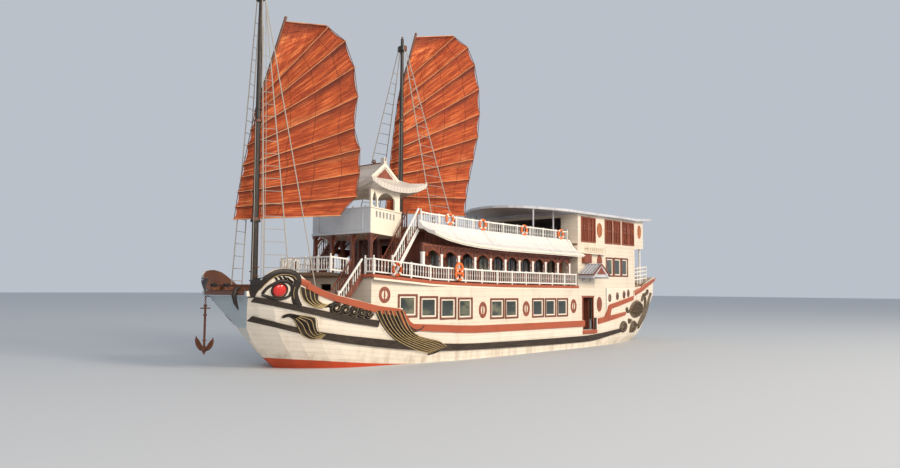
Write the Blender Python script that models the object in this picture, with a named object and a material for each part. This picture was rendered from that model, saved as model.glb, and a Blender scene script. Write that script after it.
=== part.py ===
"""A three-deck passenger junk with two batten sails.

Metres. +X is the bow, +Y port, +Z up. The origin is on the waterline, amidships, on the centreline.
"""
import bmesh
import bpy
from math import cos, pi, radians, sin
from mathutils import Vector

# Clearances, and places outside the whole vessel for the tools that cut it
GAP = 0.0003
BEYOND, ABOVE, BESIDE = 24.0, 9.0, 7.0

# Hull form. Breadths are read at these heights
HALF_BEAM = 4.35
LEVELS = (-2.0, -1.2, -0.5, 0.0, 0.6, 1.2, 2.05, 2.9, 4.9)
# columns: x at the waterline, share of the bow or stern rake, share of the half-beam at each level
STATIONS = (
    (15.9, 1.00, (0.018, 0.018, 0.018, 0.018, 0.018, 0.021, 0.087, 0.257, 0.632)),
    (15.2, 0.95, (0.023, 0.057, 0.138, 0.253, 0.310, 0.345, 0.402, 0.483, 0.678)),
    (13.2, 0.75, (0.069, 0.276, 0.483, 0.598, 0.644, 0.667, 0.701, 0.736, 0.793)),
    (10.3, 0.40, (0.115, 0.552, 0.713, 0.759, 0.805, 0.839, 0.885, 0.920, 0.943)),
    (7.1, 0.12, (0.138, 0.736, 0.874, 0.920, 0.943, 0.966, 0.989, 1.000, 1.000)),
    (3.5, 0.00, (0.161, 0.805, 0.931, 0.977, 0.989, 0.995, 1.000, 1.000, 1.000)),
    (-7.0, 0.00, (0.161, 0.805, 0.931, 0.977, 0.989, 0.995, 1.000, 1.000, 1.000)),
    (-10.5, -0.20, (0.115, 0.644, 0.851, 0.920, 0.954, 0.966, 0.977, 0.984, 0.989)),
    (-13.5, -0.60, (0.069, 0.368, 0.690, 0.816, 0.874, 0.897, 0.908, 0.920, 0.931)),
    (-15.9, -1.00, (0.034, 0.184, 0.506, 0.690, 0.747, 0.770, 0.793, 0.816, 0.828)),
)
# columns: height, reach of the stem forward of the waterline's end
BOW_RAKE = ((-2.0, -3.4), (-1.2, -1.9), (-0.5, -0.7), (0.0, 0.0), (0.6, 0.68), (1.2, 1.27),
            (2.05, 1.9), (2.9, 2.4), (3.6, 2.75), (4.9, 3.25))
# columns: height, reach of the stern aft of the waterline's end
STERN_RAKE = ((-2.0, -3.6), (-1.2, -1.9), (-0.5, -0.7), (0.0, 0.0), (0.6, 0.95), (1.2, 1.4),
              (2.05, 2.1), (2.9, 2.42), (3.6, 2.98), (4.9, 3.05))
# Sections and heights where the hull's skin has its edges
SECTIONS = (15.9, 15.6, 15.2, 14.6, 13.9, 13.2, 12.3, 11.3, 10.3, 9.0, 7.1, 5.0, 2.0, -3.0, -7.0, -8.8, -10.5, -12.0,
            -13.5, -14.7, -15.9)
SKIN_LEVELS = (-2.0, -1.6, -1.2, -0.8, -0.4, 0.0, 0.45, 0.9, 1.4, 2.05, 2.9, 3.6, 4.3, 4.9)
# The decks' sheer. columns: x, rise
SHEER = ((-19.5, 0.45), (-14.6, 0.10), (-5.6, 0.0), (3.0, 0.03), (8.4, 0.13), (13.2, 0.48), (14.4, 0.57))

# Decks
HOLD_FLOOR = 1.2
FOREDECK = 2.9
SIDE_EDGE = 1.88
MAIN_DECK = 4.24
UPPER_DECK = 7.20
DECK_THICK = 0.16
ROOF_Z = 9.24
RIM = 0.30
KEEL_Z = -2.1

# Lengthwise places
WELL_AFT, WELL_FORE = -9.9, 12.5
# The edge's climb to the foredeck. columns: x, height
CURL = ((9.9, 2.13), (10.48, 2.37), (10.74, 2.68), (11.02, FOREDECK))
HOUSE_FRONT = 12.7
DECK_HALF = HALF_BEAM - 0.05
WING_FRONT, WING_CORNER = 12.9, HALF_BEAM - 0.40
GALLERY_END = -18.2
BALCONY_FRONT = 14.15
BALCONY_HALF = 2.10
FORE_STAIR = (2.24, 3.12)
STAIR_GATE = FORE_STAIR[1] + 0.12
CABIN_FRONT, CABIN_AFT = 8.2, -6.0
CABIN_HALF = 3.0
UPPER_FRONT, UPPER_NOSE = 8.3, 9.40
LANDING_FRONT = 9.12
UPPER_HALF = HALF_BEAM - 0.75
NOSE_HALF = 2.40
PAV_HALF = 2.41
# The upper stairs run between the pavilion and the upper deck's edge
STAIR_IN, STAIR_OUT = PAV_HALF + 0.19, UPPER_HALF - 0.14
AFT_FRONT, AFT_REAR, AFT_OVERHANG = -6.10, -14.80, -16.6
# The aft house's half-breadth. columns: x, half-breadth
AFT_SIDES = ((AFT_OVERHANG, HALF_BEAM - 0.45), (AFT_REAR, HALF_BEAM - 0.27), (-12.0, HALF_BEAM - 0.12))
WALL = 0.12
SKIRT = 0.05
# How far the lower house's wall stands inside the hull's side. columns: x, distance
WALL_INSET = ((8.2, 0.06), (10.2, 0.17))

LOUNGE_HALF = 2.85
AFT_ROOF_HALF = HALF_BEAM + 0.30
AFT_ROOF_SECTIONS = (-17.2, -16.6, -12.0, -6.11, -6.09, -4.6, -3.7, -2.8, -2.1, -1.6, -1.32)
AWNING_SQUARE, AWNING_FRONT, AWNING_CROWN = -4.6, -1.30, 0.24
# The stern bulwark's capping. columns: x, lower and upper edge
STERN_CAP = ((-14.4, 3.50, 3.86), (-15.9, 3.84, 4.20), (-17.0, 4.16, 4.52), (-18.9, 4.68, 5.04))

# Windows. columns: forward end, aft end, width of one, distance from one to the next
LOWER_WINDOWS = ((11.00, 5.58, 1.13, 1.43), (3.78, 1.14, 1.20, 1.44), (-0.52, -4.56, 1.16, 1.44))
LOWER_SILL, LOWER_HEAD = 2.27, 3.34
SHUTTERS = ((-6.56, -8.43, 0.84, 1.03), (-9.88, -12.16, 1.02, 1.26), (-12.52, -14.58, 0.93, 1.13))
SHUTTER_SILL, SHUTTER_HEAD = 7.36, 9.04
AFT_WINDOWS = ((-10.06, -13.44, 0.98, 1.20),)
AFT_SILL, AFT_HEAD = 4.98, 6.24

# Side door
DOOR_FORE, DOOR_AFT = -6.60, -7.94
DOOR_HEAD = 3.44
LEAF_THICK = 0.05
LEAF_LIFT = 0.07

# Veranda
POST_FIRST, POST_SPACING, POST_COUNT = 9.40, 1.463, 11
POST_Y, POST_WIDE = DECK_HALF - 0.28, 0.13
RAIL_Y = DECK_HALF - 0.08
# Heights of a rail's bars above its deck
RAIL_BARS = (0.14, 0.78)
UPPER_BARS = (0.14, 0.80)
GALLERY_BARS = (0.40, 0.70, 1.00, 1.30)
EAVE_BEAM_Z = 6.12
UPPER_RAIL_Y = UPPER_HALF - 0.10

# Masts. columns: x, foot, top, radius at foot, radius at top
FOREMAST = (17.2, FOREDECK, 19.2, 0.18, 0.10)
MAINMAST = (7.1, UPPER_DECK, 19.1, 0.17, 0.09)
MAST_SIDES = 24

# Sails. Each angle is from straight aft, towards port
FORE_ANGLE, MAIN_ANGLE = radians(40), radians(30)
SAIL_OFF_MAST = 0.36
CLOTH = 0.03
BATTEN = 0.05
# Batten ends in the sail's plane. columns: reach and height at the luff, reach and height at the leech
FORESAIL = (
    (1.14, 17.54, 3.26, 17.47), (0.68, 15.90, 4.22, 16.73), (0.23, 14.30, 4.72, 15.36),
    (-0.20, 12.78, 4.92, 13.83), (-0.42, 11.60, 4.77, 12.19), (-0.62, 10.50, 5.08, 11.10),
    (-0.78, 9.50, 5.08, 9.87), (-0.94, 8.50, 4.95, 8.65), (-1.07, 7.36, 4.10, 7.66))
MAINSAIL = (
    (0.88, 19.44, 3.38, 19.84), (0.50, 18.00, 4.37, 19.22), (0.10, 16.65, 4.84, 18.14),
    (-0.14, 15.40, 5.14, 16.60), (-0.28, 14.20, 5.19, 15.00), (-0.42, 13.00, 5.08, 13.50),
    (-0.54, 11.80, 4.80, 12.10), (-0.64, 10.70, 4.52, 10.80), (-0.74, 9.60, 4.32, 9.60),
    (-0.84, 8.52, 4.24, 8.50))
SAIL_COLUMNS = 6
SAIL_CAMBER = 0.30

# Pavilion on the upper deck's nose
PAV_AFT, PAV_FORE = 9.44, 11.72
PAV_FLOOR = 6.55
PAV_PARAPET = 7.91
PAV_EAVE = 8.90
PAV_ROOF_FORE, PAV_ROOF_AFT, PAV_ROOF_HALF = 12.10, 8.02, 2.95
PAV_COLUMN = 0.38

# Underwater gear
PROP_Y, PROP_Z, PROP_X, PROP_R = 1.5, -1.47, -14.2, 0.42
RUDDER_X, RUDDER_TOP, RUDDER_FOOT = -15.3, -0.62, -1.98


def interpolate(table, at, column=1):
    """A value between a table's rows, held at its first and last."""
    rows = sorted(table, key=lambda row: row[0])
    if at <= rows[0][0]:
        return rows[0][column]
    for low, high in zip(rows, rows[1:]):
        if at <= high[0]:
            share = (at - low[0]) / (high[0] - low[0])
            return low[column] + share * (high[column] - low[column])
    return rows[-1][column]


def faired(rows, at):
    """A value on a smooth curve through pairs of place and value, with no overshoot."""
    rows = sorted(rows)
    if at <= rows[0][0]:
        return rows[0][1]
    if at >= rows[-1][0]:
        return rows[-1][1]
    steps = [b[0] - a[0] for a, b in zip(rows, rows[1:])]
    slopes = [(b[1] - a[1]) / step for a, b, step in zip(rows, rows[1:], steps)]
    i = max(k for k in range(len(steps)) if rows[k][0] <= at)

    def tangent(k):
        if k in (0, len(steps)):
            return slopes[min(k, len(steps) - 1)]
        before, after = slopes[k - 1], slopes[k]
        return 0.0 if before * after <= 0 else 2 * before * after / (before + after)

    t, step = (at - rows[i][0]) / steps[i], steps[i]
    return ((2 * t ** 3 - 3 * t ** 2 + 1) * rows[i][1] + (t ** 3 - 2 * t ** 2 + t) * step * tangent(i)
            + (3 * t ** 2 - 2 * t ** 3) * rows[i + 1][1] + (t ** 3 - t ** 2) * step * tangent(i + 1))


def sheer(x):
    return interpolate(SHEER, x)


def station_point(station, z):
    """The hull's skin at a station and a height, as x and half-breadth."""
    share = faired([row[:2] for row in STATIONS], station)
    reach = faired(BOW_RAKE if share > 0 else STERN_RAKE, z)
    breadths = [(level, faired([(row[0], row[2][i]) for row in STATIONS], station)) for i, level in enumerate(LEVELS)]
    return station + abs(share) * reach * (1 if share > 0 else -1), HALF_BEAM * faired(breadths, z)


def half_breadth(x, z):
    """The hull's half-breadth where its skin is at x."""
    station = x
    for _ in range(25):
        station = min(15.9, max(-15.9, x - (station_point(station, z)[0] - station)))
    return station_point(station, z)[1]


class Shape:
    """Closed shells gathered in one mesh."""

    def __init__(self):
        self.bm = bmesh.new()

    def shell(self, points, faces):
        verts = [self.bm.verts.new(point) for point in points]
        for face in faces:
            self.bm.faces.new([verts[i] for i in face])
        return self

    def box(self, x, y, z):
        points = [(x[i], y[j], z[k]) for k in (0, 1) for j in (0, 1) for i in (0, 1)]
        return self.shell(points, ((0, 2, 3, 1), (4, 5, 7, 6), (0, 1, 5, 4), (2, 6, 7, 3), (0, 4, 6, 2), (1, 3, 7, 5)))

    def loft(self, rings, folded=False):
        """Skin between rings of equal length. A folded ring's second half lies back along its first."""
        size = len(rings[0])
        ends = (0, (len(rings) - 1) * size)
        if folded:
            faces = [(e + i, e + i + 1, e + size - 2 - i, e + size - 1 - i) for e in ends for i in range(size // 2 - 1)]
        else:
            faces = [tuple(range(e, e + size)) for e in ends]
        for r in range(len(rings) - 1):
            for i in range(size):
                j = (i + 1) % size
                faces.append((r * size + i, r * size + j, (r + 1) * size + j, (r + 1) * size + i))
        return self.shell([point for ring in rings for point in ring], faces)

    def prism(self, outline, along, low, high):
        """An outline of two coordinates pushed along the third axis."""
        place = {"x": lambda a, b, t: (t, a, b), "y": lambda a, b, t: (a, t, b), "z": lambda a, b, t: (a, b, t)}
        rings = [[place[along](a, b, t) for a, b in outline] for t in (low, high)]
        return self.loft(rings)

    def rod(self, start, end, radius, sides=8, end_radius=None):
        start, end = Vector(start), Vector(end)
        turn = (end - start).to_track_quat("Z", "Y")
        rings = []
        for centre, size in ((start, radius), (end, radius if end_radius is None else end_radius)):
            rings.append([centre + turn @ Vector((size * cos(2 * pi * i / sides), size * sin(2 * pi * i / sides), 0))
                          for i in range(sides)])
        return self.loft(rings)

    def beam(self, start, end, wide, high):
        """A bar of rectangular section that stays upright."""
        start, end = Vector(start), Vector(end)
        side = Vector((start.y - end.y, end.x - start.x, 0)).normalized() * wide / 2
        up = Vector((0, 0, high / 2))
        rings = [[p - side - up, p + side - up, p + side + up, p - side + up] for p in (start, end)]
        return self.loft(rings)

    def both_sides(self):
        """Adds the mirror image across the centreline."""
        copy = bmesh.ops.duplicate(self.bm, geom=self.bm.verts[:] + self.bm.edges[:] + self.bm.faces[:])
        for item in copy["geom"]:
            if isinstance(item, bmesh.types.BMVert):
                item.co.y = -item.co.y
        return self

    def mirrored(self):
        other = Shape()
        other.bm = self.bm.copy()
        for vert in other.bm.verts:
            vert.co.y = -vert.co.y
        return other

    def with_sheer(self):
        """Bends level work to the decks' sheer."""
        for x, _ in SHEER:
            bmesh.ops.bisect_plane(self.bm, geom=self.bm.verts[:] + self.bm.edges[:] + self.bm.faces[:],
                                   plane_co=(x, 0, 0), plane_no=(1, 0, 0))
        for vert in self.bm.verts:
            vert.co.z += sheer(vert.co.x)
        return self

    def add(self, other):
        mesh = bpy.data.meshes.new("part")
        other.bm.to_mesh(mesh)
        self.bm.from_mesh(mesh)
        bpy.data.meshes.remove(mesh)
        return self


def paint(name, colour, roughness, metallic=0.0):
    found = bpy.data.materials.get(name)
    if found:
        return found
    new = bpy.data.materials.new(name)
    new.use_nodes = True
    shader = new.node_tree.nodes["Principled BSDF"]
    shader.inputs["Base Color"].default_value = (*colour, 1)
    shader.inputs["Roughness"].default_value = roughness
    shader.inputs["Metallic"].default_value = metallic
    return new


CREAM = ("cream_paint", (0.90, 0.82, 0.66), 0.45)
WHITE = ("white_paint", (0.88, 0.86, 0.82), 0.45)
STRAKE = ("strake_paint", (0.48, 0.12, 0.06), 0.5)
WALE = ("dark_timber", (0.10, 0.07, 0.05), 0.75)
TIMBER = ("red_timber", (0.30, 0.07, 0.04), 0.55)
DECKING = ("deck_timber", (0.28, 0.16, 0.08), 0.7)
MAST = ("mast_timber", (0.03, 0.02, 0.02), 0.6)
SAIL = ("sail_cloth", (0.52, 0.13, 0.04), 0.85)
ROPE = ("rope", (0.25, 0.22, 0.18), 0.9)
IRON = ("iron", (0.02, 0.02, 0.02), 0.6, 0.6)
BRONZE = ("bronze", (0.45, 0.28, 0.10), 0.35, 1.0)


def solid(name, shape, finish, origin=(0, 0, 0)):
    """An object from closed shells, with its origin where it turns."""
    shape.bm.normal_update()
    bmesh.ops.recalc_face_normals(shape.bm, faces=shape.bm.faces[:])
    if shape.bm.calc_volume(signed=True) < 0:
        bmesh.ops.reverse_faces(shape.bm, faces=shape.bm.faces[:])
    mesh = bpy.data.meshes.new(name)
    bmesh.ops.translate(shape.bm, verts=shape.bm.verts[:], vec=-Vector(origin))
    shape.bm.to_mesh(mesh)
    shape.bm.free()
    item = bpy.data.objects.new(name, mesh)
    item.location = origin
    bpy.context.collection.objects.link(item)
    if finish:
        mesh.materials.append(paint(*finish))
    return item


def boolean(item, tool, operation, label):
    """Joins or cuts with a shape, or with an object that has steps of its own."""
    if isinstance(tool, Shape):
        tool = solid(f"{item.name}_{label}", tool, None)
    tool.hide_render = True
    tool.display_type = "WIRE"
    step = item.modifiers.new(label, "BOOLEAN")
    step.operation = operation
    step.object = tool
    step.solver = "EXACT"


def cut(item, shape, label):
    boolean(item, shape, "DIFFERENCE", label)


def weld(item, shape, label):
    boolean(item, shape, "UNION", label)


def hull_shell(swell=0.0):
    """The hull's full body up to its highest edge."""
    rings = []
    for station in SECTIONS:
        port = [station_point(station, z) for z in SKIN_LEVELS]
        rings.append([(x, -y - swell, z) for (x, y), z in zip(port[::-1], SKIN_LEVELS[::-1])]
                     + [(x, y + swell, z) for (x, y), z in zip(port, SKIN_LEVELS)])
    shape = Shape().loft(rings, folded=True)
    bmesh.ops.triangulate(shape.bm, faces=shape.bm.faces[:], quad_method="FIXED")
    return shape


def side_profile():
    """The solid hull's upper edge, from the stern to the bow, as x and z."""
    deck = MAIN_DECK - DECK_THICK - GAP
    rise = [(x, deck + sheer(x)) for x, _ in SHEER if x < WELL_AFT] + [(WELL_AFT, deck + sheer(WELL_AFT))]
    edge = [(WELL_AFT, SIDE_EDGE + sheer(WELL_AFT))]
    edge += [(x, SIDE_EDGE + sheer(x)) for x, _ in SHEER if WELL_AFT < x < CURL[0][0]]
    return rise, edge + list(CURL) + [(BEYOND, FOREDECK)]


def plan(x_values, z, inset):
    """The hull's outline seen from above, inset from the skin, as x and half-breadth."""
    return [(x, half_breadth(x, z) - inset) for x in x_values]


def spread(first, last, count):
    return [first + (last - first) * i / (count - 1) for i in range(count)]


def build_hull():
    item = solid("hull", hull_shell(), CREAM)
    rise, edge = side_profile()
    cut(item, Shape().prism(rise + edge + [(BEYOND, ABOVE), (-BEYOND, ABOVE)], "y", -BESIDE, BESIDE), "above_edge")
    xs = spread(WELL_AFT + 0.2, WELL_FORE, 12)
    well = plan(xs, 2.0, RIM)
    cut(item, Shape().prism(well + [(x, -y) for x, y in well[::-1]], "z", HOLD_FLOOR, ABOVE), "well")
    doors = Shape()
    doors.box((DOOR_AFT, DOOR_FORE), (CABIN_HALF, BESIDE), (HOLD_FLOOR, ABOVE)).both_sides()
    cut(item, doors, "doorways")
    skeg = Shape().prism(((-8.0, -1.9), (-8.4, KEEL_Z), (RUDDER_X - 0.45, KEEL_Z), (RUDDER_X - 0.45, RUDDER_FOOT - GAP),
                          (-14.75, RUDDER_FOOT - GAP), (-14.6, -0.6), (-8.0, -0.6)), "y", -0.12, 0.12)
    weld(item, skeg, "skeg")
    tubes = Shape()
    tubes.rod((-10.2, PROP_Y, PROP_Z), (PROP_X, PROP_Y, PROP_Z), 0.09)
    weld(item, tubes.both_sides(), "stern_tubes")
    struts = Shape()
    struts.box((-14.05, -13.75), (PROP_Y - 0.03, PROP_Y + 0.03), (PROP_Z, -0.55))
    struts.both_sides().rod((RUDDER_X, 0, RUDDER_TOP + GAP), (RUDDER_X, 0, 0.2), 0.16, 16)
    weld(item, struts, "struts")


def hull_body():
    """A cutter with the hull's outside, a hair larger, up to its own edge."""
    item = solid("hull_body", hull_shell(2 * GAP), None)
    rise, edge = side_profile()
    above = [(x, z + 2 * GAP) for x, z in rise + edge] + [(BEYOND, ABOVE), (-BEYOND, ABOVE)]
    cut(item, Shape().prism(above, "y", -BESIDE, BESIDE), "above_edge")
    return item


def side_strip(rows, reach, step):
    """A plank along the port side. Rows hold x, lower and upper height."""
    rings = []
    count = 1 + round(abs(rows[0][0] - rows[-1][0]) / step)
    low_edge, high_edge = [row[:2] for row in rows], [(row[0], row[2]) for row in rows]
    for x in spread(rows[0][0], rows[-1][0], count):
        low, high = faired(low_edge, x), faired(high_edge, x)
        inner = min(half_breadth(x, low), half_breadth(x, high)) - PLANK_SUNK
        rings.append([(x, inner, low), (x, half_breadth(x, low) + reach, low),
                      (x, half_breadth(x, high) + reach, high), (x, inner, high)])
    return Shape().loft(rings)


PLANK_SUNK = 0.08
# Planks on the hull's side. columns: name, thickness, distance between sections, finish, then x, lower edge and
# upper edge at each bend
PLANKS = (
    ("upper_wale", 0.10, 0.45, WALE, ((18.40, 3.31, 3.54), (16.16, 2.80, 3.07), (14.15, 2.33, 2.65), (12.3, 2.03, 2.36))),
    ("lower_wale", 0.12, 1.0, WALE, ((18.0, 2.39, 2.63), (16.2, 1.83, 2.06), (14.1, 1.30, 1.68), (7.83, 0.61, 1.01),
                                     (4.8, 0.54, 0.89), (-6.58, 0.40, 0.81), (-12.2, 0.83, 1.10))),
    ("rubbing_strake", 0.10, 1.45, STRAKE, ((9.9, 1.77, 2.13), (4.87, 1.50, 1.91), (-6.64, 1.46, 1.87))),
    ("quarter_strake", 0.10, 0.8, STRAKE, ((-10.3, 2.58, 2.92), (-14.35, 3.22, 3.52))),
)
# The rubbing strake's forward sweep up to the bulwark, with its step between sections, and the aft strake
SWEEP = ((16.40, 3.94, 4.24), (15.56, 3.58, 3.87), (14.85, 3.34, 3.64), (13.60, 3.03, 3.36), (12.40, 2.73, 3.10),
         (11.40, 2.60, 2.98), (11.10, 2.50, 2.94), (10.74, 1.95, 2.70), (10.48, 1.88, 2.36), (10.10, 1.80, 2.14), (9.88, 1.77, 2.13))
SWEEP_STEP = 0.24
AFT_STRAKE = ((-8.60, 1.58, 1.96), (-10.0, 1.72, 2.08), (-13.0, 2.10, 2.34))
# The link between the aft strake and the quarter strake. columns: height, forward and aft edges
LINK = ((1.90, -9.50, -10.25), (2.15, -9.70, -10.32), (2.50, -9.98, -10.44), (2.86, -10.14, -10.60))


def link_strip(reach):
    rings = []
    for z, fore, aft in LINK:
        rings.append([(fore, half_breadth(fore, z) - PLANK_SUNK, z), (fore, half_breadth(fore, z) + reach, z),
                      (aft, half_breadth(aft, z) + reach, z), (aft, half_breadth(aft, z) - PLANK_SUNK, z)])
    return Shape().loft(rings)


def build_planks():
    swollen = 2 * GAP
    for name, thick, step, finish, rows in PLANKS:
        more = {"rubbing_strake": [side_strip(SWEEP, thick - 0.002, SWEEP_STEP)],
                "quarter_strake": [link_strip(thick + 0.02), side_strip(AFT_STRAKE, thick, step)]}.get(name, [])
        for side in ("port", "starboard"):
            flip = (lambda s: s.mirrored()) if side == "starboard" else (lambda s: Shape().add(s))
            item = solid(f"{name}_{side}", flip(side_strip(rows, thick, step)), finish)
            for index, strip in enumerate(more):
                weld(item, flip(strip), f"run_{index}")
            cut(item, hull_shell(swollen), "hull_side")
            if name == "rubbing_strake":
                cut(item, house_block(f"{item.name}_house", swollen, None), "house_side")


# The bow bulwark's top. columns: x, height
BULWARK_TOP = ((10.9, 2.96), (11.6, 3.02), (12.7, 3.19), (14.2, 3.53), (14.85, 3.67), (15.56, 3.90), (16.26, 4.20),
               (16.67, 4.50), (17.13, 4.77), (17.64, 4.87), (18.09, 4.81), (18.36, 4.62), (18.51, 4.35), (18.61, 4.05),
               (18.66, 3.79), (18.68, 3.64))
BULWARK_THICK = 0.10
BULWARK_SECTIONS = 30


def build_bow_bulwark():
    item = solid("bow_bulwark", hull_shell(), CREAM)
    first, last = BULWARK_TOP[0], BULWARK_TOP[-1]
    xs = spread(first[0], last[0], BULWARK_SECTIONS) + [x for x, _ in BULWARK_TOP[-5:]]
    top = [(x, faired(BULWARK_TOP, x)) for x in sorted(set(xs))]
    above = top + [(BEYOND, last[1]), (BEYOND, ABOVE), (first[0], ABOVE)]
    cut(item, Shape().prism(above, "y", -BESIDE, BESIDE), "above_top")
    below = ((-BEYOND, ABOVE), (first[0], ABOVE), (first[0], FOREDECK + GAP), (BEYOND, FOREDECK + GAP),
             (BEYOND, -ABOVE), (-BEYOND, -ABOVE))
    cut(item, Shape().prism(below, "y", -BESIDE, BESIDE), "below_deck")
    inner = hull_shell(-BULWARK_THICK)
    bmesh.ops.translate(inner.bm, verts=inner.bm.verts[:], vec=(-BULWARK_THICK, 0, 0))
    cut(item, inner, "inside")
    x, y = station_point(15.9, last[1])
    weld(item, Shape().box((x - 0.20, x + 0.18), (-y - 0.16, y + 0.16), (last[1] - 0.06, last[1] + 0.18)), "beam")


def build_anchor():
    """A stocked anchor hung under the bow beam's starboard end."""
    x, y, z = station_point(15.9, BULWARK_TOP[-1][1])[0] + 0.06, -1.78, BULWARK_TOP[-1][1] - 0.06 - GAP
    shape = Shape().rod((x, y, z), (x, y, z - 2.85), 0.055)
    item = solid("anchor", shape, IRON)
    crown = ((y - 0.62, z - 2.45), (y, z - 2.72), (y + 0.62, z - 2.45), (y + 0.62, z - 2.57), (y, z - 2.90), (y - 0.62, z - 2.57))
    weld(item, Shape().prism(crown, "x", x - 0.05, x + 0.05), "arms")
    flukes = Shape()
    flukes.box((x - 0.12, x + 0.12), (y - 0.70, y - 0.55), (z - 2.62, z - 2.34))
    flukes.box((x - 0.12, x + 0.12), (y + 0.55, y + 0.70), (z - 2.62, z - 2.34))
    weld(item, flukes, "flukes")
    weld(item, Shape().box((x - 0.45, x + 0.45), (y - 0.05, y + 0.05), (z - 0.42, z - 0.30)), "stock")


def window_boxes(groups, sill, head):
    """Boxes through both side walls, where the windows go."""
    shape = Shape()
    for first, last, wide, pitch in groups:
        for i in range(1 + round((first - wide - last) / pitch)):
            fore = first - i * pitch
            shape.box((fore - wide, fore), (CABIN_HALF, BESIDE), (sill, head))
    return shape.both_sides().with_sheer()


def house_outline(swell):
    """The lower deckhouse's port wall seen from above."""
    return [(x, half_breadth(x, FOREDECK) - interpolate(WALL_INSET, x) + swell)
            for x in spread(WELL_AFT + 2 * GAP, HOUSE_FRONT, 14)]


def house_block(name, swell, finish):
    """The lower deckhouse as a block that stands on the hull's edge, swollen a little when it cuts others."""
    port = house_outline(swell)
    block = Shape().prism(port + [(x, -y) for x, y in port[::-1]], "z", 1.5, MAIN_DECK - DECK_THICK - GAP)
    item = solid(name, block.with_sheer(), finish)
    edge = [(x, z + GAP - swell) for x, z in side_profile()[1]]
    below = [(WELL_AFT - 1, -1), (WELL_AFT - 1, edge[0][1])] + edge + [(BEYOND, -1)]
    cut(item, Shape().prism(below, "y", -BESIDE, BESIDE), "below_edge")
    return item


def build_lower_house():
    """Walls between the hull's edge and the main deck, open to the hold's floor."""
    item = house_block("lower_house", 0.0, CREAM)
    inner = house_outline(-WALL)[:-1] + [(HOUSE_FRONT - WALL, house_outline(-WALL)[-1][1])]
    inner = [(WELL_AFT - 1, inner[0][1])] + inner
    cut(item, Shape().prism(inner + [(x, -y) for x, y in inner[::-1]], "z", 1, ABOVE), "room")
    cut(item, window_boxes(LOWER_WINDOWS, LOWER_SILL, LOWER_HEAD), "windows")
    doors = Shape()
    doors.box((DOOR_AFT, DOOR_FORE), (CABIN_HALF, BESIDE), (1, DOOR_HEAD)).both_sides()
    cut(item, doors, "doorways")
    front = Shape()
    front.box((HOUSE_FRONT - 1, HOUSE_FRONT + 1), (-0.45, 0.45), (FOREDECK - 0.5, 4.2))
    cut(item, front, "front_door")


def gallery_edge(x):
    """The stern gallery's floor stops just inside the bulwark."""
    return half_breadth(x, MAIN_DECK) - 0.16


def build_main_deck():
    gallery = [(x, gallery_edge(x)) for x in (GALLERY_END, -16.0, AFT_REAR - GAP)]
    house = [(x, wall_half(x, MAIN_DECK) - SKIRT - GAP) for x in (AFT_REAR - GAP, -12.0, AFT_FRONT + GAP)]
    fore = [(AFT_FRONT + GAP, DECK_HALF), (9.0, DECK_HALF - 0.02), (10.5, DECK_HALF - 0.08), (WING_FRONT, WING_CORNER)]
    port = gallery + house + fore
    port += [(WING_FRONT, BALCONY_HALF), (BALCONY_FRONT, BALCONY_HALF)]
    outline = port + [(x, -y) for x, y in port[::-1]]
    solid("main_deck", Shape().prism(outline, "z", MAIN_DECK - DECK_THICK, MAIN_DECK).with_sheer(), DECKING)


def railing(name, path, base, bars, finish, spacing, wide=0.07):
    """Bars on posts, along a path of x and y. The last bar is the top rail."""
    posts, runs = Shape(), (Shape(), Shape())
    top = base + bars[-1] + 0.08

    def post(x, y):
        posts.box((x - wide / 2, x + wide / 2), (y - wide / 2, y + wide / 2), (base + GAP, top))

    for turn, ((x0, y0), (x1, y1)) in enumerate(zip(path, path[1:])):
        count = max(1, round(Vector((x1 - x0, y1 - y0)).length / spacing))
        for i in range(count):
            share = i / count
            post(x0 + share * (x1 - x0), y0 + share * (y1 - y0))
        for bar in bars:
            runs[turn % 2].beam((x0, y0, base + bar), (x1, y1, base + bar), wide + (0.02 if bar == bars[-1] else -0.01),
                                0.08 - 0.012 * (turn % 2))
    post(*path[-1])
    item = solid(name, posts.with_sheer(), finish)
    weld(item, runs[0].with_sheer(), "bars")
    if len(path) > 2:
        weld(item, runs[1].with_sheer(), "turned_bars")
    return item


def mirror_path(path):
    return [(x, -y) for x, y in path]


def build_main_rails():
    path = [(AFT_FRONT + 0.27, RAIL_Y), (10.4, RAIL_Y - 0.08), (WING_FRONT - 0.08, WING_CORNER - 0.08),
            (WING_FRONT - 0.08, STAIR_GATE)]
    railing("main_rail_port", path, MAIN_DECK, RAIL_BARS, WHITE, POST_SPACING)
    railing("main_rail_starboard", mirror_path(path), MAIN_DECK, RAIL_BARS, WHITE, POST_SPACING)
    inner = BALCONY_HALF - 0.06
    path = [(WING_FRONT + 0.06, inner), (BALCONY_FRONT - 0.07, inner), (BALCONY_FRONT - 0.07, -inner),
            (WING_FRONT + 0.06, -inner)]
    railing("balcony_rail", path, MAIN_DECK, RAIL_BARS, WHITE, 1.1)


def arch(aft, fore, spring, crown, top):
    """The plate over an arched opening, pointed at its crown."""
    middle, half = (aft + fore) / 2, (fore - aft) / 2
    outline = [(aft, spring), (aft, top), (fore, top), (fore, spring)]
    for i in range(1, ARCH_SIDES):
        share = cos(pi * i / ARCH_SIDES)
        rise = 0.8 * (1 - share * share) ** 0.5 + 0.2 * (1 - abs(share))
        outline.append((middle + share * (half - 0.03), spring + rise * (crown - spring)))
    return outline


ARCH_SIDES = 8


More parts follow.
